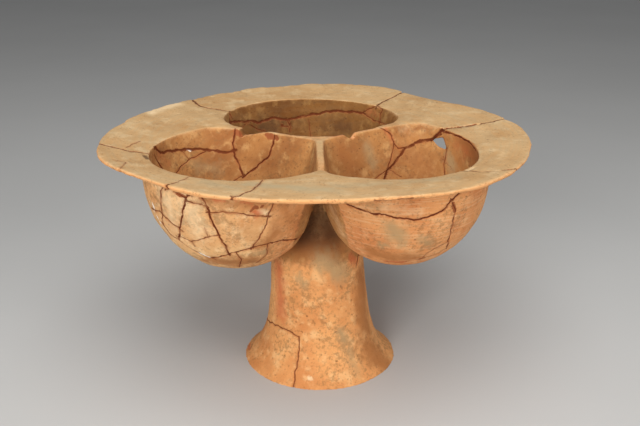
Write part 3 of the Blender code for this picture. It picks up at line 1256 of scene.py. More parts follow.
@dataclass(frozen=True)
class Mark:
    """A stain, chip, lost flake, painted shade or painted highlight between two pixels of the photograph.

    Attributes:
        face: The face that it is on.
        start: Where it starts.
        end: Where it ends.
        spread: How far it spreads from the line between them, in millimetres.
        stain_and_painted_light: What it looks like.
        strength: How strong it is, from 0 to 1.
        depth: How deep the clay is lost there, in millimetres.
    """

    face: Face
    start: Pixel
    end: Pixel
    spread: float
    stain_and_painted_light: StainAndPaintedLight
    strength: float = 1.0
    depth: float = 0.0
    reach: float = 2.2
    raggedness: tuple[float, float] = (0.25, 0.12)
    large_rags: float = 1.2
    small_rags: float = 3 * MM
    facing: tuple[float, float] = (0.0, 0.4)

    def measure(self, tracer: Tracer, points: Array, normals: Array, seed: int) -> Array:
        """Return how close points are to the mark's middle, from 0 to 1 and 0.5 at its outline.

        Args:
            tracer: What finds the surface.
            points: The points, in rows.
            normals: The surface's directions there.
            seed: Which ragged outline it gets.

        Returns:
            One share for each point.
        """
        hits = [tracer.under_pixel(pixel, self.face) for pixel in (self.start, self.end)]
        share = np.zeros(len(points))
        if None in hits:
            log.warning("a mark at %s isn't on the %s", self.start, self.face.value)
            return share
        start, end = (np.array(hit[0][:]) for hit in hits)
        facing = np.array(hits[0][1][:])
        radius = self.spread * MM
        reach = self.reach * radius
        low, high = np.minimum(start, end) - reach, np.maximum(start, end) + reach
        near = np.flatnonzero(np.all((points > low) & (points < high), axis=1))
        own = points[near]
        run = end - start
        along = np.clip((own - start) @ run / max(run @ run, 1e-12), 0, 1)
        distance = np.linalg.norm(own - start - along[:, None] * run, axis=1)
        large, small = self.raggedness
        ragged = 1 + large * ripple(own, self.large_rags * radius, seed)
        ragged += small * ripple(own, self.small_rags, seed)
        closeness = np.clip(1 - distance * ragged / radius / 2, 0, 1)
        turned = smooth_step(*self.facing, normals[near] @ facing)
        share[near] = self.strength * closeness * turned
        return share


FRACTURE, RED, GREY, PALE, WHITE, DARK, DEEP = StainAndPaintedLight


def marks_on(face: Face, *rows: tuple[Any, ...]) -> list[Mark]:
    """Return a face's marks from rows of their two pixels, spreads, stains and, if unusual, more."""
    return [Mark(face, (x0, y0), (x1, y1), *more) for x0, y0, x1, y1, *more in rows]


MARKS: tuple[Mark, ...] = (
    *marks_on(
        Face.LEFT_OUTSIDE,
        (250.5, 211, 253, 208, 1.5, FRACTURE),
        (253, 208, 262, 206.3, 1.2, FRACTURE),
        (254, 211, 258, 213.6, 3, RED, 0.9),
        (259.5, 211.5, 266, 212.6, 2.2, PALE),
        (199, 253, 211, 258.3, 1.3, WHITE),
        (152.5, 204, 154, 209, 1.4, WHITE),
        (154, 211, 163, 226, 0.8, WHITE),
        (177, 194, 184.5, 197, 1.7, FRACTURE, 1.0, 0.3),
        (214, 198, 224, 200, 2.6, RED, 0.8),
        (236, 200, 262, 203, 2.2, RED, 0.7),
        (254, 255, 266, 251, 3.6, GREY, 0.7),
        # Pale clay with a painted highlight on the lit front of the left bowl.
        (188, 208, 200, 230, 14, PALE, 0.6),
        (168, 200, 172, 222, 12, PALE, 0.6),
        # Painted shade on the left bowl's right side, on its underside and in a band under the brim.
        (284, 208, 292, 222, 13, DEEP, 0.6),
        (276, 232, 262, 246, 9, DEEP, 0.8),
        (214, 261, 250, 261, 8, DEEP),
        (226, 262, 252, 261, 7, DARK, 0.42),
        (240, 228, 256, 236, 8, DEEP, 0.5),
        (204, 199, 262, 203, 5, DEEP, 0.9),
        (166, 190, 186, 193, 3, DEEP, 0.6),
    ),
    *marks_on(
        Face.RIGHT_OUTSIDE,
        (391, 226, 400, 238, 8, GREY, 0.85),
        (380, 244, 387, 245, 3.6, GREY, 0.85),
        (371, 205, 377, 207, 3.6, GREY, 0.7),
        (422, 238, 430, 244, 5, GREY, 0.7),
        (453.5, 203.5, 454.6, 211, 1.6, FRACTURE),
        (386, 261.4, 404, 262, 2.0, RED),
        # Painted light on the right bowl's left flank and just under the brim, over the shadows cast there,
        # and painted shade on its underside.
        (332, 209, 343, 234, 9, PALE, 0.45),
        (372, 252, 412, 257, 8, DEEP, 0.9),
        (385, 207, 420, 211, 5, PALE, 0.45),
    ),
    *marks_on(
        Face.STEM,
        (322, 260, 340, 274, 10, GREY, 0.9),
        (300, 279, 304, 284, 5, GREY, 0.75),
        (341, 331, 345, 340, 5, GREY, 0.75),
        (350, 350, 356, 370, 7, GREY, 0.6),
        (279, 266, 280.5, 312, 8, RED, 0.75),
        (350, 256, 355, 262, 4, RED, 0.8),
        # Painted shade on the stem's top under the bowls, on its right side and on the foot's right.
        (298, 246, 335, 246, 11, DEEP),
        (361, 280, 364, 325, 11, DEEP),
        (368, 346, 382, 362, 13, DEEP),
        (309, 378.5, 310.6, 379, 1.6, PALE, 1.0, 0.3),
        (249.5, 343.5, 249, 349, 1.8, RED, 1.0, 0.6),
    ),
    *marks_on(
        Face.LEFT_INSIDE,
        (236.5, 132, 241, 135.5, 2.6, FRACTURE, 1.0, 0.5),
        (266, 134.8, 276, 138.4, 2.7, FRACTURE, 1.0, 1.0),
        (187, 149.6, 191, 150.4, 1.0, WHITE),
        (160, 156, 168, 163, 5, RED, 0.45),
        (196, 164, 216, 170, 6, GREY, 0.6),
    ),
    *marks_on(
        Face.REAR_INSIDE,
        (368, 112, 377, 114, 4.6, RED, 0.5),
        # Painted shade in the rear bowl's inside.
        (262, 128, 350, 130, 13, DARK, 0.7),
    ),
    *marks_on(
        Face.RIGHT_INSIDE,
        (367, 145, 374, 166, 6, GREY, 0.7),
        (449, 158, 452, 168, 6, GREY, 0.85),
        (458, 146, 468, 152, 8, RED, 0.4),
        # Painted shade in the right bowl's inside.
        (405, 153, 432, 165, 12, DEEP, 0.6),
        (408, 152, 434, 162, 12, DARK, 0.36),
        (340, 150, 352, 164, 12, DEEP, 0.7),
        (462, 142, 474, 152, 11, DEEP),
        # Painted highlight on the sherd that is tilted towards the light.
        (402, 129, 430, 131, 7, PALE, 0.32),
        (385, 128, 392, 140, 3.6, RED, 0.5),
    ),
    *marks_on(
        Face.BRIM,
        (144.5, 155.5, 147, 159, 1.9, DARK, 0.9, 0.5),
        (151, 112, 176, 104, 7, PALE, 0.8),
        (468, 170, 473, 167.6, 1.6, PALE, 1.0, 0.5),
        (509, 168.8, 513, 168.4, 1.6, FRACTURE, 1.0, 0.3),
        (447, 128.6, 476, 124.7, 1.7, FRACTURE),
        (250, 184, 330, 190, 10, GREY, 0.75),
        (340, 186, 450, 178, 9, GREY, 0.6),
        (205, 181, 236, 189, 8, GREY, 0.6),
    ),
)


@dataclass(frozen=True)
class Zones:
    """Where the vessel's differently coloured zones start and end; the gap between the front bowls and the
    rear bowl's inside are painted shade.
    """

    brim: Brim
    stem: Stem
    rim_band: tuple[float, ...] = mm(-2.6, -0.8)
    level: tuple[float, float] = (0.15, 0.7)
    edge_band: tuple[float, ...] = mm(0.6, 2.6)
    bowl_reach: float = 1.45
    inward: tuple[float, float] = (0.0, 0.3)
    insides_over: float = 110 * MM
    stem_skin: tuple[float, ...] = mm(1.5, 4)
    all_stem_under: float = 112 * MM
    bowl_skin: tuple[float, ...] = mm(80, 96)
    left_fades: tuple[float, ...] = mm(-64, -26)
    rear_blend: tuple[float, ...] = mm(-2, 2)
    gap_half_width: float = 8 * MM
    gap_spread: float = 13 * MM
    gap_narrows: tuple[float, ...] = mm(136, 166)
    gap_sides: tuple[float, float] = (0.7, 1.5)
    gap_out: tuple[float, ...] = mm(44, 54)
    gap_rise: tuple[float, ...] = mm(112, 140)
    insides_kept_over: float = 162 * MM

    def inside(self, places: Array, normals: Array) -> Array:
        """Return how far points are on the insides of the bowls, by where they face.

        Args:
            places: The points, in rows.
            normals: The surface's directions there.

        Returns:
            One share for each point.
        """
        share = np.zeros(len(places))
        for mouth in PLAN.mouths:
            offset = places - PLAN.middle(mouth)
            near = np.hypot(offset[:, 0], offset[:, 1]) < self.bowl_reach * PLAN.bowl_radius
            facing = np.einsum("ij,ij->i", offset, normals)
            facing /= np.maximum(np.linalg.norm(offset, axis=1), MM)
            share = np.maximum(share, near * smooth_step(*self.inward, -facing))
        return share

    def gap(self, places: Array) -> Array:
        """Return how far points are in the painted shade of the gap between the two front bowls.

        Args:
            places: The points, in rows.

        Returns:
            One share for each point.
        """
        turns, out = PLAN.polar(places)
        aside = turn_between(PLAN.front_gap, turns)
        beside = np.abs(np.sin(np.radians(aside))) * out
        height = places[:, 2]
        narrow = smooth_step(*self.gap_narrows, height)
        band = self.gap_half_width + self.gap_spread * (1 - narrow)
        share = 1 - smooth_step(*self.gap_sides, beside / band)
        share *= 1 - smooth_step(*self.gap_out, out)
        share *= smooth_step(*self.gap_rise, height) * (height < PLAN.rim_height - PLAN.lip)
        return share * (np.abs(aside) < 90)

    def measure(self, places: Array, normals: Array) -> dict[str, Array]:
        """Return how far points are in each zone.

        Args:
            places: The points, in rows.
            normals: The surface's directions there.

        Returns:
            For each zone's name, the points' shares in it.
        """
        turns, out = PLAN.polar(places)
        height = places[:, 2]
        over_rim = smooth_step(*(PLAN.rim_height + level for level in self.rim_band), height)
        brim = over_rim * smooth_step(*self.level, normals[:, 2])
        edge = over_rim * (1 - smooth_step(*self.edge_band, self.brim.reach(turns) - out))
        inside = self.inside(places, normals) * (1 - brim) * (height > self.insides_over)
        side = places[:, :2] - PLAN.axis - self.stem.centre(height)
        from_stem = np.hypot(side[:, 0], side[:, 1]) - self.stem.outer(height)
        stem = 1 - smooth_step(*self.stem_skin, np.abs(from_stem))
        stem = np.where(height < self.all_stem_under, 1.0, stem)
        stem = stem * (height < self.stem.top) * (1 - inside)
        bare = (1 - inside) * (1 - brim) * (1 - stem)
        left, right = (
            bare * (1 - smooth_step(*self.bowl_skin, np.linalg.norm(
                places - PLAN.middle(mouth), axis=1)))
            for mouth in (PLAN.left, PLAN.right))
        left *= 1 - smooth_step(*self.left_fades, places[:, 0])
        # The rear bowl's inside, which takes a darker tone that is painted shade.
        rear = inside * smooth_step(*self.rear_blend, PLAN.nearness(places, PLAN.rear))
        outside = (1 - inside * (height > self.insides_kept_over)) * (1 - brim)
        return {
            "brim": brim, "brim_edge": edge * (1 - 0.5 * brim), "inside": inside, "stem": stem,
            "left_outside": left, "right_outside": right, "rear_inside": rear,
            "gap": self.gap(places) * outside,
        }


@dataclass
class Vessel:
    """The whole vessel: its forms joined, its skin remade finely and its breaks worked in."""

    brim: Brim = field(default_factory=lambda: Brim("brim", 720))
    stem: Stem = field(default_factory=lambda: Stem("stem_and_foot", 192))
    hollow: StemHollow = field(default_factory=lambda: StemHollow("stem_hollow", 128))
    left_break: WallBreak = field(default_factory=lambda: WallBreak(
        "rear_left_break", 8, PLAN.rear_left_wall,
        ((50, 4), (51.5, -0.5), (60, -2), (67, -4.5), (73, -6), (78, -8), (79.5, -3), (81, 4)),
    ))
    right_break: WallBreak = field(default_factory=lambda: WallBreak(
        "rear_right_break", 5, PLAN.rear_right_wall,
        ((30, 4), (31, -1), (39, -5.5), (43, 0), (43.5, 4)),
    ))
    hole: Hole = field(default_factory=lambda: Hole("hole_in_bowl", 5))
    bowl_steps: int = 144
    voxel: float = 1.0 * MM
    quick_voxel: float = 1.8 * MM
    most_triangles: int = 192_000
    kept_fine: float = 2.2 * MM
    inside_by: float = 0.001 * MM
    far: float = 50.0
    large_waves: float = 0.3
    small_waves: float = 0.16
    wave_sizes: tuple[float, ...] = mm(55, 17)
    groove_share: float = 0.62
    least_groove: float = 1.1 * MM
    groove_sides: tuple[float, float] = (0.2, 1.0)
    softening: float = 0.5
    lift_fades: float = 2.5 * MM
    flake_outline: tuple[float, float] = (0.42, 0.58)
    piece: bpy.types.Object | None = None

    def join(self) -> None:
        """Join the forms and cut the hollows, breaks and hole, as the solid has them."""
        self.piece = self.brim.build()
        Bench.combine(self.piece, self.stem.build(), "UNION")
        hollow = self.hollow.build()
        over = PLAN.rim_height + PLAN.cut_past
        for k, mouth in enumerate(PLAN.mouths, 1):
            outside = Bowl(f"bowl_{k}_outside", self.bowl_steps, mouth).build()
            Bench.apply(self.piece, "BOOLEAN", operation="UNION", object=outside)
            Bench.combine(hollow, outside, "DIFFERENCE")
        Bench.combine(self.piece, hollow, "DIFFERENCE")
        for k, mouth in enumerate(PLAN.mouths, 1):
            inside = Bowl(f"bowl_{k}_inside", self.bowl_steps, mouth, PLAN.bowl_wall, over)
            Bench.combine(self.piece, inside.build(), "DIFFERENCE")
        for cutter in (self.left_break, self.right_break, self.hole):
            Bench.combine(self.piece, cutter.build(), "DIFFERENCE")
        self.piece.name = "clay_vessel"
        self.piece.data.name = "clay_vessel"

    def reskin(self) -> None:
        """Remake the skin in small even faces, soften it and make it gently uneven."""
        size = self.voxel
        Bench.apply(self.piece, "REMESH", mode="VOXEL", voxel_size=size)
        Bench.apply(self.piece, "SMOOTH", factor=self.softening, iterations=3)
        places, normals = Bench.corners(self.piece), Bench.normals(self.piece)
        large, small = self.wave_sizes
        uneven = self.large_waves * ripple(places, large, 21, 12)
        uneven += self.small_waves * ripple(places, small, 22, 14)
        Bench.put_corners(self.piece, places + normals * (uneven * MM)[:, None])

    def work_breaks(self, strips: list[Strip], tracer: Tracer) -> None:
        """Sink the seams and the lost flakes into the skin.

        Args:
            strips: The seams.
            tracer: What finds the surface.
        """
        places, normals = Bench.corners(self.piece), Bench.normals(self.piece)
        sunk, raised = np.zeros(len(places)), np.zeros(len(places))
        for strip in strips:
            near, distance, side, width = strip.measure(places)
            half_width = np.maximum(self.groove_share * width, self.least_groove)
            sides = smooth_step(*self.groove_sides, distance / half_width)
            groove = strip.kind.depth * (1 - sides)
            sunk[near] = np.maximum(sunk[near], groove)
            raised[near] += strip.lift * np.sign(side) * np.exp(-distance / self.lift_fades)
        for seed, mark in enumerate(MARKS):
            if mark.depth:
                closeness = mark.measure(tracer, places, normals, seed)
                sunk += mark.depth * MM * smooth_step(*self.flake_outline, closeness)
        Bench.put_corners(self.piece, places + normals * (raised - sunk)[:, None])

    def thin_out(self, strips: list[Strip]) -> None:
        """Merge faces away from the seams, to the most triangles that the skin may have.

        Args:
            strips: The seams.
        """
        triangles = sum(len(face.vertices) - 2 for face in self.piece.data.polygons)
        if triangles > self.most_triangles:
            distance = self.seam_layers(strips, Bench.corners(self.piece))["seam_near"]
            free = np.flatnonzero(distance * MM > self.kept_fine)
            group = self.piece.vertex_groups.new(name="may_merge")
            group.add(free.tolist(), 1.0, "REPLACE")
            Bench.apply(self.piece, "DECIMATE", ratio=self.most_triangles / triangles,
                        vertex_group=group.name)
            self.piece.vertex_groups.clear()
        low, high = (np.array(corner[:]) for corner in CAD_BOX)
        held = np.clip(Bench.corners(self.piece), low + self.inside_by, high - self.inside_by)
        Bench.put_corners(self.piece, held)
        Bench.pick(self.piece)
        bpy.ops.object.shade_smooth()

    def seam_layers(self, strips: list[Strip], places: Array) -> dict[str, Array]:
        """Return how the nearest seam lies to points, with lengths in millimetres.

        Args:
            strips: The seams.
            places: The points, in rows.

        Returns:
            The signed distance across the seam, the plain distance to it, its width, and how
            dark it is.
        """
        across, nearest = (np.full(len(places), self.far) for _ in range(2))
        widths, dark = np.ones(len(places)), np.zeros(len(places))
        for strip in strips:
            near, distance, side, width = strip.measure(places)
            closer = distance / MM < nearest[near]
            own = near[closer]
            nearest[own] = distance[closer] / MM
            across[own] = side[closer] / MM
            widths[own] = width[closer] / MM
            dark[own] = strip.kind.darkness
        return {"seam_across": across, "seam_near": nearest, "seam_width": widths,
                "seam_dark": dark}

    def paint(self, strips: list[Strip], tracer: Tracer) -> None:
        """Write the seams, stains, painted shade and highlights, and zones to the mesh as attributes for
        the material.

        Args:
            strips: The seams.
            tracer: What finds the surface.
        """
        places, normals = Bench.corners(self.piece), Bench.normals(self.piece)
        zones = Zones(self.brim, self.stem).measure(places, normals)
        layers = {**self.seam_layers(strips, places), **zones}
        for stain_and_painted_light in StainAndPaintedLight:
            layers.setdefault(stain_and_painted_light.value, np.zeros(len(places)))
        for seed, mark in enumerate(MARKS):
            share = mark.measure(tracer, places, normals, seed)
            layers[mark.stain_and_painted_light.value] = np.maximum(layers[mark.stain_and_painted_light.value], share)
        for name, values in layers.items():
            layer = self.piece.data.attributes.new(name, "FLOAT", "POINT")
            layer.data.foreach_set("value", values.astype(np.float32))

    def build(self, material: bpy.types.Material) -> None:
        """Build, work and paint the vessel, and put it in the frame.

        Args:
            material: The fired clay.
        """
        self.join()
        log.info("forms joined: %d faces", len(self.piece.data.polygons))
        tree = BVHTree.FromObject(self.piece, bpy.context.evaluated_depsgraph_get())
        tracer = Tracer(tree, self.stem)
        strips = [seam.strip(tracer, 3 * k) for k, seam in enumerate(SEAMS)]
        strips = [strip for strip in strips if strip]
        self.reskin()
        log.info("skin remade: %d faces", len(self.piece.data.polygons))
        self.work_breaks(strips, tracer)
        self.thin_out(strips)
        log.info("skin thinned: %d faces", len(self.piece.data.polygons))
        self.paint(strips, tracer)
        self.piece.data.materials.clear()
        self.piece.data.materials.append(material)
        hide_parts(NODE)
        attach(self.piece, "root")


@dataclass
class Recipe:
    """Adds nodes to a tree and links them, so that a finish reads from top to bottom."""

    tree: bpy.types.NodeTree

    def node(self, kind: str, inputs: dict[Any, Any] | None = None, **settings: Any) -> bpy.types.Node:
        """Add a node.

        Args:
            kind: The node's type, without its ShaderNode prefix.
            inputs: A value or another node's socket for each input's name or number.
            **settings: The node's own settings.

        Returns:
            The node.
        """
        node = self.tree.nodes.new(f"ShaderNode{kind}")
        for name, value in settings.items():
            setattr(node, name, value)
        for key, value in (inputs or {}).items():
            self.feed(node.inputs[key], value)
        return node

    def feed(self, socket: bpy.types.NodeSocket, value: Any) -> None:
        """Link another node's socket to an input, or set the input to a value.

        Args:
            socket: The input.
            value: The socket or value.
        """
        if isinstance(value, bpy.types.NodeSocket):
            self.tree.links.new(value, socket)
        else:
            socket.default_value = value

    def math(self, how: str, first: Any, second: Any = 0.0, clamp: bool = False) -> Any:
        """Return the result of a sum on two values or sockets."""
        return self.node("Math", {0: first, 1: second}, operation=how, use_clamp=clamp).outputs[0]

    def times(self, first: Any, second: Any) -> Any:
        """Return the product of two values or sockets."""
        return self.math("MULTIPLY", first, second)

    def plus(self, first: Any, second: Any, clamp: bool = False) -> Any:
        """Return the sum of two values or sockets."""
        return self.math("ADD", first, second, clamp)

    def rest(self, value: Any) -> Any:
        """Return what a value or socket leaves of 1."""
        return self.math("SUBTRACT", 1.0, value)

    def mix(self, share: Any, first: Any, second: Any, how: str = "MIX") -> Any:
        """Return the mix of two colours or sockets, with a share of the second."""
        colours = {0: share, 6: first, 7: second}
        return self.node("Mix", colours, data_type="RGBA", blend_type=how).outputs[2]

    def between(self, value: Any, low: Any, high: Any) -> Any:
        """Return 0 below one level, 1 above another and a smooth rise between them."""
        inputs = {"Value": value, "From Min": low, "From Max": high}
        return self.node("MapRange", inputs, interpolation_type="SMOOTHSTEP").outputs[0]

    def noise(self, place: Any, scale: Any, detail: float = 2, roughness: float = 0.5) -> Any:
        """Return a noise pattern's values at a place."""
        inputs = {"Vector": place, "Scale": scale, "Detail": detail, "Roughness": roughness}
        return self.node("TexNoise", inputs).outputs[0]

    def layer(self, name: str) -> Any:
        """Return the values of one of the mesh's attributes."""
        return self.node("Attribute", attribute_name=name).outputs["Fac"]


@dataclass(frozen=True)
class GroupSocket:
    """A socket of a node group: its name, starting value and kind."""

    name: str
    value: Any = None
    kind: str = "NodeSocketFloat"


class Pattern:
    """A shared effect, built once as a node group and placed with its own values."""

    name: str = ""
    inputs: tuple[GroupSocket, ...] = ()
    outputs: tuple[GroupSocket, ...] = ()

    def lay(self, recipe: Recipe, given: Any) -> dict[str, Any]:
        """Lay the group's nodes.

        Args:
            recipe: The group's recipe.
            given: The sockets of the group's inputs, by name.

        Returns:
            The socket for each output's name.
        """
        raise NotImplementedError

    def group(self) -> bpy.types.NodeTree:
        """Return the group, made on first use.

        Returns:
            The group's tree.
        """
        known = bpy.data.node_groups.get(self.name)
        if known:
            return known
        tree = bpy.data.node_groups.new(self.name, "ShaderNodeTree")
        for direction, sockets in (("INPUT", self.inputs), ("OUTPUT", self.outputs)):
            for socket in sockets:
                made = tree.interface.new_socket(
                    socket.name, in_out=direction, socket_type=socket.kind)
                if socket.value is not None:
                    made.default_value = socket.value
        given = tree.nodes.new("NodeGroupInput")
        wanted = tree.nodes.new("NodeGroupOutput")
        for name, source in self.lay(Recipe(tree), given.outputs).items():
            tree.links.new(source, wanted.inputs[name])
        return tree

    def place(self, recipe: Recipe, values: dict[str, Any]) -> bpy.types.Node:
        """Place the group in a material, with a value or socket for each input that is set."""
        return recipe.node("Group", values, node_tree=self.group())


COLOUR = "NodeSocketColor"
PLACE = GroupSocket("Place", kind="NodeSocketVector")
MASK = GroupSocket("Mask")


class MottledClay(Pattern):
    """Fired clay that goes from a deep tone to a light one in patches, with fine grain."""

    name = "mottled_clay"
    inputs = (
        PLACE, GroupSocket("Deep", kind=COLOUR), GroupSocket("Middle", kind=COLOUR),
        GroupSocket("Light", kind=COLOUR), GroupSocket("Patch Scale", 20.0),
        GroupSocket("Grain", 0.1),
    )
    outputs = (GroupSocket("Color", kind=COLOUR),)

    def lay(self, recipe: Recipe, given: Any) -> dict[str, Any]:
        """Lay the patches, the smaller clouds and the grain.

        Args:
            recipe: The group's recipe.
            given: The sockets of its inputs.

        Returns:
            The colour's socket.
        """
        place, scale = given["Place"], given["Patch Scale"]
        patches = recipe.noise(place, scale, 4, 0.6)
        clouds = recipe.noise(place, recipe.times(scale, 4.3), 3, 0.6)
        low = recipe.mix(recipe.between(patches, 0.3, 0.62), given["Deep"], given["Middle"])
        high = recipe.times(recipe.between(clouds, 0.48, 0.72), 0.7)
        toned = recipe.mix(high, low, given["Light"])
        grain = recipe.noise(place, 750, 2, 0.7)
        spread = recipe.times(recipe.math("SUBTRACT", grain, 0.5), given["Grain"])
        bright = recipe.plus(spread, 1.0)
        brightness = recipe.node("CombineColor", {0: bright, 1: bright, 2: bright}).outputs[0]
        return {"Color": recipe.mix(1.0, toned, brightness, "MULTIPLY")}


class Specks(Pattern):
    """Small dark specks and pits scattered over the clay."""

    name = "specks"
    inputs = (
        PLACE, GroupSocket("Scale", 150.0), GroupSocket("Amount", 0.3),
        GroupSocket("Size", 0.3),
    )
    outputs = (MASK,)

    def lay(self, recipe: Recipe, given: Any) -> dict[str, Any]:
        """Lay round cells, keep some of them and make their outline ragged.

        Args:
            recipe: The group's recipe.
            given: The sockets of its inputs.

        Returns:
            The mask's socket.
        """
        place = given["Place"]
        wander = recipe.node("TexNoise", {"Vector": place, "Scale": 400.0, "Detail": 1.0})
        shift = recipe.node("VectorMath", {0: wander.outputs["Color"], 1: (0.003, 0.003, 0.003)},
                            operation="MULTIPLY").outputs[0]
        bent = recipe.node("VectorMath", {0: place, 1: shift}, operation="ADD").outputs[0]
        cells = recipe.node("TexVoronoi", {"Vector": bent, "Scale": given["Scale"]})
        inner = recipe.math("DIVIDE", cells.outputs["Distance"], given["Size"])
        dot = recipe.rest(recipe.between(inner, 0.45, 1.0))
        chance = recipe.node("SeparateColor", {0: cells.outputs["Color"]}).outputs[0]
        crowd = recipe.between(recipe.noise(place, 38, 3, 0.6), 0.38, 0.66)
        amount = recipe.times(given["Amount"], recipe.plus(recipe.times(crowd, 1.7), 0.15))
        kept = recipe.math("LESS_THAN", chance, amount)
        return {"Mask": recipe.times(dot, kept)}


class Flecks(Pattern):
    """Soft irregular flecks of old soil, crowded in some places and bare in others."""

    name = "flecks"
    inputs = (PLACE, GroupSocket("Scale", 230.0), GroupSocket("Cover", 0.5))
    outputs = (MASK,)

    def lay(self, recipe: Recipe, given: Any) -> dict[str, Any]:
        """Lay fine noise that only its highest places show, more of them where it is crowded.

        Args:
            recipe: The group's recipe.
            given: The sockets of its inputs.

        Returns:
            The mask's socket.
        """
        place = given["Place"]
        fine = recipe.noise(place, given["Scale"], 4, 0.7)
        crowd = recipe.between(recipe.noise(place, 26, 4, 0.6), 0.35, 0.68)
        gain = recipe.times(recipe.times(crowd, given["Cover"]), 0.2)
        return {"Mask": recipe.between(recipe.plus(fine, gain), 0.57, 0.77)}


class SmoothingLines(Pattern):
    """Faint lines left by wet hands that smoothed the clay round the vessel's axis."""

    name = "smoothing_lines"
    inputs = (PLACE, GroupSocket("Across", 260.0), GroupSocket("Along", 5.0))
    outputs = (GroupSocket("Value"),)

    def lay(self, recipe: Recipe, given: Any) -> dict[str, Any]:
        """Lay a noise that is drawn out along circles round the axis.

        Args:
            recipe: The group's recipe.
            given: The sockets of its inputs.

        Returns:
            The lines' socket.
        """
        parts = recipe.node("SeparateXYZ", {0: given["Place"]})
        x, y, z = parts.outputs
        out = recipe.math("POWER", recipe.plus(recipe.times(x, x), recipe.times(y, y)), 0.5)
        safe = recipe.math("MAXIMUM", out, 0.001)
        along = given["Along"]
        cosine = recipe.times(recipe.math("DIVIDE", x, safe), along)
        sine = recipe.times(recipe.math("DIVIDE", y, safe), along)
        rise = recipe.times(recipe.plus(out, z), given["Across"])
        drawn = recipe.node("CombineXYZ", {0: cosine, 1: sine, 2: rise}).outputs[0]
        return {"Value": recipe.noise(drawn, 1.0, 3, 0.55)}


class BreakLine(Pattern):
    """A break's thin dark line with ragged sides, and the reddish clay beside it."""

    name = "break_line"
    inputs = (
        PLACE, GroupSocket("Across", 50.0), GroupSocket("Near", 50.0),
        GroupSocket("Width", 1.0), GroupSocket("Dark", 0.0),
    )
    outputs = (GroupSocket("Core"), GroupSocket("Halo"))

    def lay(self, recipe: Recipe, given: Any) -> dict[str, Any]:
        """Lay the line where the distance across is small, and end it with the seam.

        Args:
            recipe: The group's recipe.
            given: The sockets of its inputs.

        Returns:
            The sockets of the line and of the clay beside it.
        """
        place, near, dark = given["Place"], given["Near"], given["Dark"]
        ragged = recipe.plus(recipe.times(recipe.noise(place, 420, 2), 1.1), 0.45)
        width = recipe.times(given["Width"], ragged)
        aside = recipe.math("DIVIDE", recipe.math("ABSOLUTE", given["Across"]), width)
        line = recipe.rest(recipe.between(aside, 0.32, 0.68))
        ended = recipe.rest(recipe.between(near, 1.2, 2.2))
        patchy = recipe.plus(recipe.between(recipe.noise(place, 90, 3), 0.3, 0.6), 0.55, True)
        strength = recipe.times(dark, patchy)
        core = recipe.times(recipe.times(line, ended), strength)
        cloud = recipe.between(recipe.noise(place, 160, 3, 0.6), 0.35, 0.65)
        spread = recipe.times(recipe.plus(cloud, 0.4), 2.6)
        close = recipe.math("DIVIDE", near, spread)
        halo = recipe.rest(recipe.between(close, 0.1, 1.0))
        return {"Core": core, "Halo": recipe.times(halo, dark)}


class Patch(Pattern):
    """A patch with a broken outline, from how close each point is to the patch's middle."""

    name = "patch"
    inputs = (
        PLACE, GroupSocket("Close", 0.0), GroupSocket("From", 0.2),
        GroupSocket("To", 0.8), GroupSocket("Broken", 0.3),
        GroupSocket("Scale", 130.0),
    )
    outputs = (MASK,)

    def lay(self, recipe: Recipe, given: Any) -> dict[str, Any]:
        """Lay the patch where the closeness, shifted by noise, is high enough.

        Args:
            recipe: The group's recipe.
            given: The sockets of its inputs.

        Returns:
            The mask's socket.
        """
        noise = recipe.noise(given["Place"], given["Scale"], 4, 0.65)
        shift = recipe.times(recipe.math("SUBTRACT", noise, 0.5), given["Broken"])
        close = recipe.plus(given["Close"], shift)
        mask = recipe.between(close, given["From"], given["To"])
        held = recipe.between(given["Close"], 0.02, 0.15)
        return {"Mask": recipe.times(mask, held)}


@dataclass(frozen=True)
class ClayTone:
    """The tones of the clay in one zone of the vessel.

    Attributes:
        deep: Its darkest patches.
        middle: Its usual tone.
        light: Its palest clouds.
        patch_scale: How fine the patches are.
        grain: How strong the fine grain is.
    """

    deep: Colour
    middle: Colour
    light: Colour
    patch_scale: float
    grain: float = 0.25

    def colour(self, recipe: Recipe, place: Any) -> Any:
        """Return the tone's colour in a material.

        Args:
            recipe: The material's recipe.
            place: The place's socket.

        Returns:
            The colour's socket.
        """
        values = {
            "Place": place, "Deep": self.deep, "Middle": self.middle, "Light": self.light,
            "Patch Scale": self.patch_scale, "Grain": self.grain,
        }
        return MottledClay().place(recipe, values).outputs["Color"]


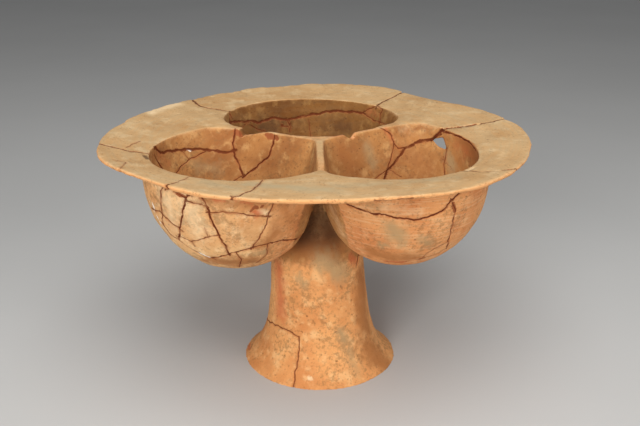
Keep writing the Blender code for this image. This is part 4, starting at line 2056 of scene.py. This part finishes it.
@dataclass(frozen=True)
class FiredClay:
    """The vessel's one material, with a tone for each zone, colours for its damage, and painted shade and
    painted highlights.
    """

    outside: ClayTone = ClayTone(srgb(198, 124, 70), srgb(216, 148, 90), srgb(228, 172, 118), 22)
    left_outside: ClayTone = ClayTone(
        srgb(206, 144, 88), srgb(226, 176, 120), srgb(240, 202, 152), 24)
    right_outside: ClayTone = ClayTone(
        srgb(202, 126, 72), srgb(220, 152, 94), srgb(228, 172, 118), 22)
    brim: ClayTone = ClayTone(srgb(186, 142, 92), srgb(204, 164, 114), srgb(216, 184, 138), 16)
    inside: ClayTone = ClayTone(srgb(150, 94, 48), srgb(184, 128, 72), srgb(204, 156, 98), 20)
    # Painted shade: a darker copy of the inside tone for the rear bowl's inside, where little light falls.
    rear_inside: ClayTone = ClayTone(srgb(118, 72, 30), srgb(146, 98, 48), srgb(172, 126, 70), 20)
    stem: ClayTone = ClayTone(srgb(206, 134, 76), srgb(226, 162, 100), srgb(234, 184, 126), 20)
    seam: Colour = srgb(102, 42, 9)
    brim_seam: Colour = srgb(98, 56, 28)
    rust: Colour = srgb(160, 90, 48)
    fracture: Colour = srgb(150, 84, 46)
    red_clay: Colour = srgb(200, 108, 64)
    grey_lime: Colour = srgb(172, 142, 100)
    dust: Colour = srgb(180, 162, 126)
    fleck: Colour = srgb(130, 92, 54)
    # Painted shade for the gap between the two front bowls.
    gap_painted_shade: Colour = srgb(56, 27, 9)
    # Pale clay of chips and scratches, and painted highlights where light falls.
    pale_clay: Colour = srgb(238, 206, 160)
    white_repair: Colour = srgb(242, 230, 212)
    # Dark soil in a chip, and painted shade in the bowls' insides and under the left bowl.
    dark_soil: Colour = srgb(92, 62, 38)
    # Painted shade on the vessel's shaded sides, undersides and insides.
    deep_clay: Colour = srgb(170, 108, 58)
    speck: Colour = srgb(104, 62, 34)
    edge: Colour = srgb(224, 164, 106)
    edge_share: float = 0.7
    specks: tuple[float, float, float] = (190.0, 0.2, 0.24)
    stem_specks: tuple[float, float, float] = (330.0, 0.42, 0.34)
    pits: tuple[float, float, float] = (420.0, 0.35, 0.4)
    scratch_slant: float = -38
    scratch_scale: tuple[float, float, float] = (25.0, 25.0, 620.0)
    specular: float = 0.25
    roughness: tuple[float, float] = (0.72, 0.95)

    def tones(self, recipe: Recipe, place: Any) -> Any:
        """Return the clay's colour, with each zone in its own tone.

        Args:
            recipe: The material's recipe.
            place: The place's socket.

        Returns:
            The colour's socket.
        """
        colour = self.outside.colour(recipe, place)
        # The rear bowl's inside gets its darker tone here, which is painted shade.
        for name in ("left_outside", "right_outside", "stem", "inside", "rear_inside", "brim"):
            tone = getattr(self, name).colour(recipe, place)
            colour = recipe.mix(recipe.layer(name), colour, tone)
        edge = recipe.times(recipe.layer("brim_edge"), self.edge_share)
        return recipe.mix(edge, colour, self.edge)

    def damage_and_painted_light(self, recipe: Recipe, place: Any, colour: Any, line: bpy.types.Node) -> Any:
        """Return the colour with stains, flakes, seams, painted shade and painted highlights over it.

        Args:
            recipe: The material's recipe.
            place: The place's socket.
            colour: The clay's colour.
            line: The breaks' lines.

        Returns:
            The colour's socket.
        """
        grey = recipe.mix(recipe.layer("brim"), self.grey_lime, self.dust)
        # The deep layer is painted shade, the dark layer is soil in a chip and painted shade, and the pale
        # layer is pale clay with painted highlights.
        soft = (
            (StainAndPaintedLight.DEEP, self.deep_clay, 0.85), (StainAndPaintedLight.GREY, grey, 0.8),
            (StainAndPaintedLight.PALE, self.pale_clay, 0.85), (StainAndPaintedLight.RED, self.red_clay, 0.85),
            (StainAndPaintedLight.DARK, self.dark_soil, 0.9),
        )
        for stain_and_painted_light, tone, most in soft:
            values = {"Place": place, "Close": recipe.layer(stain_and_painted_light.value), "From": 0.15, "To": 0.85,
                      "Broken": 0.5}
            share = recipe.times(Patch().place(recipe, values).outputs["Mask"], most)
            colour = recipe.mix(share, colour, tone)
        for stain_and_painted_light, tone in ((StainAndPaintedLight.FRACTURE, self.fracture), (StainAndPaintedLight.WHITE, self.white_repair)):
            values = {"Place": place, "Close": recipe.layer(stain_and_painted_light.value), "From": 0.44, "To": 0.56,
                      "Broken": 0.35, "Scale": 300.0}
            colour = recipe.mix(Patch().place(recipe, values).outputs["Mask"], colour, tone)
        halo = recipe.times(line.outputs["Halo"], 0.6)
        colour = recipe.mix(halo, colour, self.rust)
        seam = recipe.mix(recipe.layer("brim"), self.seam, self.brim_seam)
        return recipe.mix(line.outputs["Core"], colour, seam)

    def soil(self, recipe: Recipe, place: Any, colour: Any, specks: Any, pits: Any) -> Any:
        """Return the colour with soil, specks and flecks over it.

        Args:
            recipe: The material's recipe.
            place: The place's socket.
            colour: The clay's colour.
            specks: The specks' mask.
            pits: The pits' mask.

        Returns:
            The colour's socket.
        """
        bare = recipe.rest(recipe.times(recipe.layer("brim"), 0.75))
        colour = recipe.mix(recipe.times(recipe.times(specks, 0.6), bare), colour, self.speck)
        on_stem = recipe.times(self.speckle(recipe, place, self.stem_specks), recipe.layer("stem"))
        colour = recipe.mix(recipe.times(on_stem, 0.15), colour, self.speck)
        cover = recipe.plus(recipe.times(recipe.layer("grey_lime"), 0.9), 0.75)
        cover = recipe.plus(cover, recipe.times(recipe.layer("left_outside"), 0.4))
        flecks = Flecks().place(recipe, {"Place": place, "Cover": cover}).outputs["Mask"]
        colour = recipe.mix(recipe.times(recipe.times(flecks, bare), 0.5), colour, self.fleck)
        return recipe.mix(recipe.times(pits, 0.25), colour, self.speck)

    @staticmethod
    def speckle(recipe: Recipe, place: Any, kind: tuple[float, float, float]) -> Any:
        """Return the mask of specks of one scale, amount and size."""
        values = dict(zip(("Place", "Scale", "Amount", "Size"), (place, *kind)))
        return Specks().place(recipe, values).outputs["Mask"]

    @staticmethod
    def relief(recipe: Recipe, place: Any, raised: Any, sunk: Any, core: Any) -> Any:
        """Return the surface's fine direction, with its grain, pits and cracks.

        Args:
            recipe: The material's recipe.
            place: The place's socket.
            raised: How high the hands' lines and scratches stand.
            sunk: How deep the specks and pits are.
            core: The breaks' lines.

        Returns:
            The socket with the surface's direction.
        """
        fine = recipe.times(recipe.noise(place, 900, 3, 0.65), 0.25)
        coarse = recipe.times(recipe.noise(place, 210, 4, 0.6), 0.6)
        height = recipe.plus(recipe.plus(fine, coarse), raised)
        height = recipe.math("SUBTRACT", height, sunk)
        bump = recipe.node("Bump", {"Height": height, "Strength": 0.8, "Distance": 0.35 * MM})
        crack = {"Height": recipe.rest(core), "Strength": 0.6, "Distance": 0.5 * MM,
                 "Normal": bump.outputs["Normal"]}
        return recipe.node("Bump", crack).outputs["Normal"]

    def build(self) -> bpy.types.Material:
        """Build the material.

        Returns:
            The material.
        """
        material = bpy.data.materials.new("fired_clay")
        material.use_nodes = True
        recipe = Recipe(material.node_tree)
        coordinates = recipe.node("TexCoord").outputs["Object"]
        offset = (-PLAN.axis[0], -PLAN.axis[1], 0.0)
        place = recipe.node("Mapping", {"Vector": coordinates, "Location": offset}).outputs[0]
        lines = SmoothingLines().place(recipe, {"Place": place}).outputs["Value"]
        slanted = recipe.node("Mapping", {
            "Vector": place, "Rotation": (0.0, math.radians(self.scratch_slant), 0.0),
            "Scale": self.scratch_scale,
        }).outputs[0]
        scratches = recipe.times(recipe.noise(slanted, 1.0, 2), recipe.layer("right_outside"))
        specks, pits = (self.speckle(recipe, place, kind) for kind in (self.specks, self.pits))
        line = BreakLine().place(recipe, {
            "Place": place, "Across": recipe.layer("seam_across"), "Near": recipe.layer("seam_near"),
            "Width": recipe.layer("seam_width"), "Dark": recipe.layer("seam_dark"),
        })

        colour = self.tones(recipe, place)
        streak = recipe.times(recipe.between(lines, 0.35, 0.7), 0.22)
        streak = recipe.times(streak, recipe.plus(recipe.layer("brim"), 0.25))
        colour = recipe.mix(streak, colour, self.dust)
        scratched = recipe.times(recipe.between(scratches, 0.5, 0.62), 0.2)
        colour = recipe.mix(scratched, colour, self.pale_clay)
        colour = self.soil(recipe, place, colour, specks, pits)
        colour = self.damage_and_painted_light(recipe, place, colour, line)
        # Painted shade in the gap between the two front bowls.
        colour = recipe.mix(recipe.times(recipe.layer("gap"), 0.8), colour, self.gap_painted_shade)

        rough = recipe.node("MapRange", {
            "Value": recipe.noise(place, 60, 3, 0.6), "To Min": self.roughness[0],
            "To Max": self.roughness[1],
        }).outputs[0]
        inputs = material.node_tree.nodes["Principled BSDF"].inputs
        recipe.feed(inputs["Base Color"], colour)
        recipe.feed(inputs["Roughness"], rough)
        recipe.feed(inputs["Metallic"], 0)
        recipe.feed(inputs["Specular IOR Level"], self.specular)
        raised = recipe.plus(recipe.times(lines, 0.5), recipe.times(scratches, 0.8))
        sunk = recipe.plus(recipe.times(specks, 0.6), pits)
        relief = self.relief(recipe, place, raised, sunk, line.outputs["Core"])
        recipe.feed(inputs["Normal"], relief)
        return material


@dataclass(frozen=True)
class Softbox:
    """A studio light: its place, its width and its power."""

    name: str
    place: tuple[float, float, float]
    width: float
    power: float


@dataclass
class Studio:
    """A plain pale floor, soft lights and a pale surround."""

    aim: tuple[float, float, float] = (0.0, 0.0, 0.13)
    floor_size: float = 14.0
    floor_colour: Colour = srgb(194, 193, 190)
    surround: Colour = srgb(228, 230, 234)
    surround_strength: float = 0.25
    lights: tuple[Softbox, ...] = (
        Softbox("key_left", (-0.78, -1.68, 0.8), 0.9, 27),
        Softbox("fill_right", (1.35, -1.1, 0.7), 1.0, 10),
        Softbox("over", (0.0, -0.6, 1.4), 1.1, 14),
    )

    def floor_finish(self) -> bpy.types.Material:
        """Build the floor's matt finish, with the faint mottle of paper.

        Returns:
            The material.
        """
        material = bpy.data.materials.new("pale_floor")
        material.use_nodes = True
        recipe = Recipe(material.node_tree)
        place = recipe.node("TexCoord").outputs["Object"]
        mottle = recipe.between(recipe.noise(place, 3, 3, 0.5), 0.3, 0.7)
        darker = tuple(0.97 * value for value in self.floor_colour[:3]) + (1.0,)
        inputs = material.node_tree.nodes["Principled BSDF"].inputs
        recipe.feed(inputs["Base Color"], recipe.mix(mottle, darker, self.floor_colour))
        recipe.feed(inputs["Roughness"], 0.9)
        recipe.feed(inputs["Specular IOR Level"], 0.2)
        return material

    def build(self) -> None:
        """Lay the floor and hang the lights."""
        bpy.ops.mesh.primitive_plane_add(size=self.floor_size)
        floor = bpy.context.active_object
        floor.name = "floor"
        floor.data.materials.append(self.floor_finish())
        for light in self.lights:
            heading = Vector(self.aim) - Vector(light.place)
            turn = heading.to_track_quat("-Z", "Y").to_euler()
            bpy.ops.object.light_add(type="AREA", location=light.place, rotation=turn)
            lamp = bpy.context.active_object
            lamp.name = light.name
            lamp.data.size = light.width
            lamp.data.energy = light.power
        world = bpy.data.worlds.new("studio")
        world.use_nodes = True
        background = world.node_tree.nodes["Background"]
        background.inputs["Color"].default_value = self.surround
        background.inputs["Strength"].default_value = self.surround_strength
        bpy.context.scene.world = world
        bpy.context.scene.view_settings.view_transform = "Standard"


def main() -> None:
    """Build the vessel, its studio and the camera."""
    logging.basicConfig(level=logging.INFO, format="%(relativeCreated)d ms %(message)s")
    bpy.ops.object.select_all(action="DESELECT")
    material = FiredClay().build()
    log.info("fired clay mixed")
    Vessel().build(material)
    log.info("vessel built")
    CAMERA.build()
    Studio().build()
    log.info("studio set up")


if __name__ == "__main__":
    main()
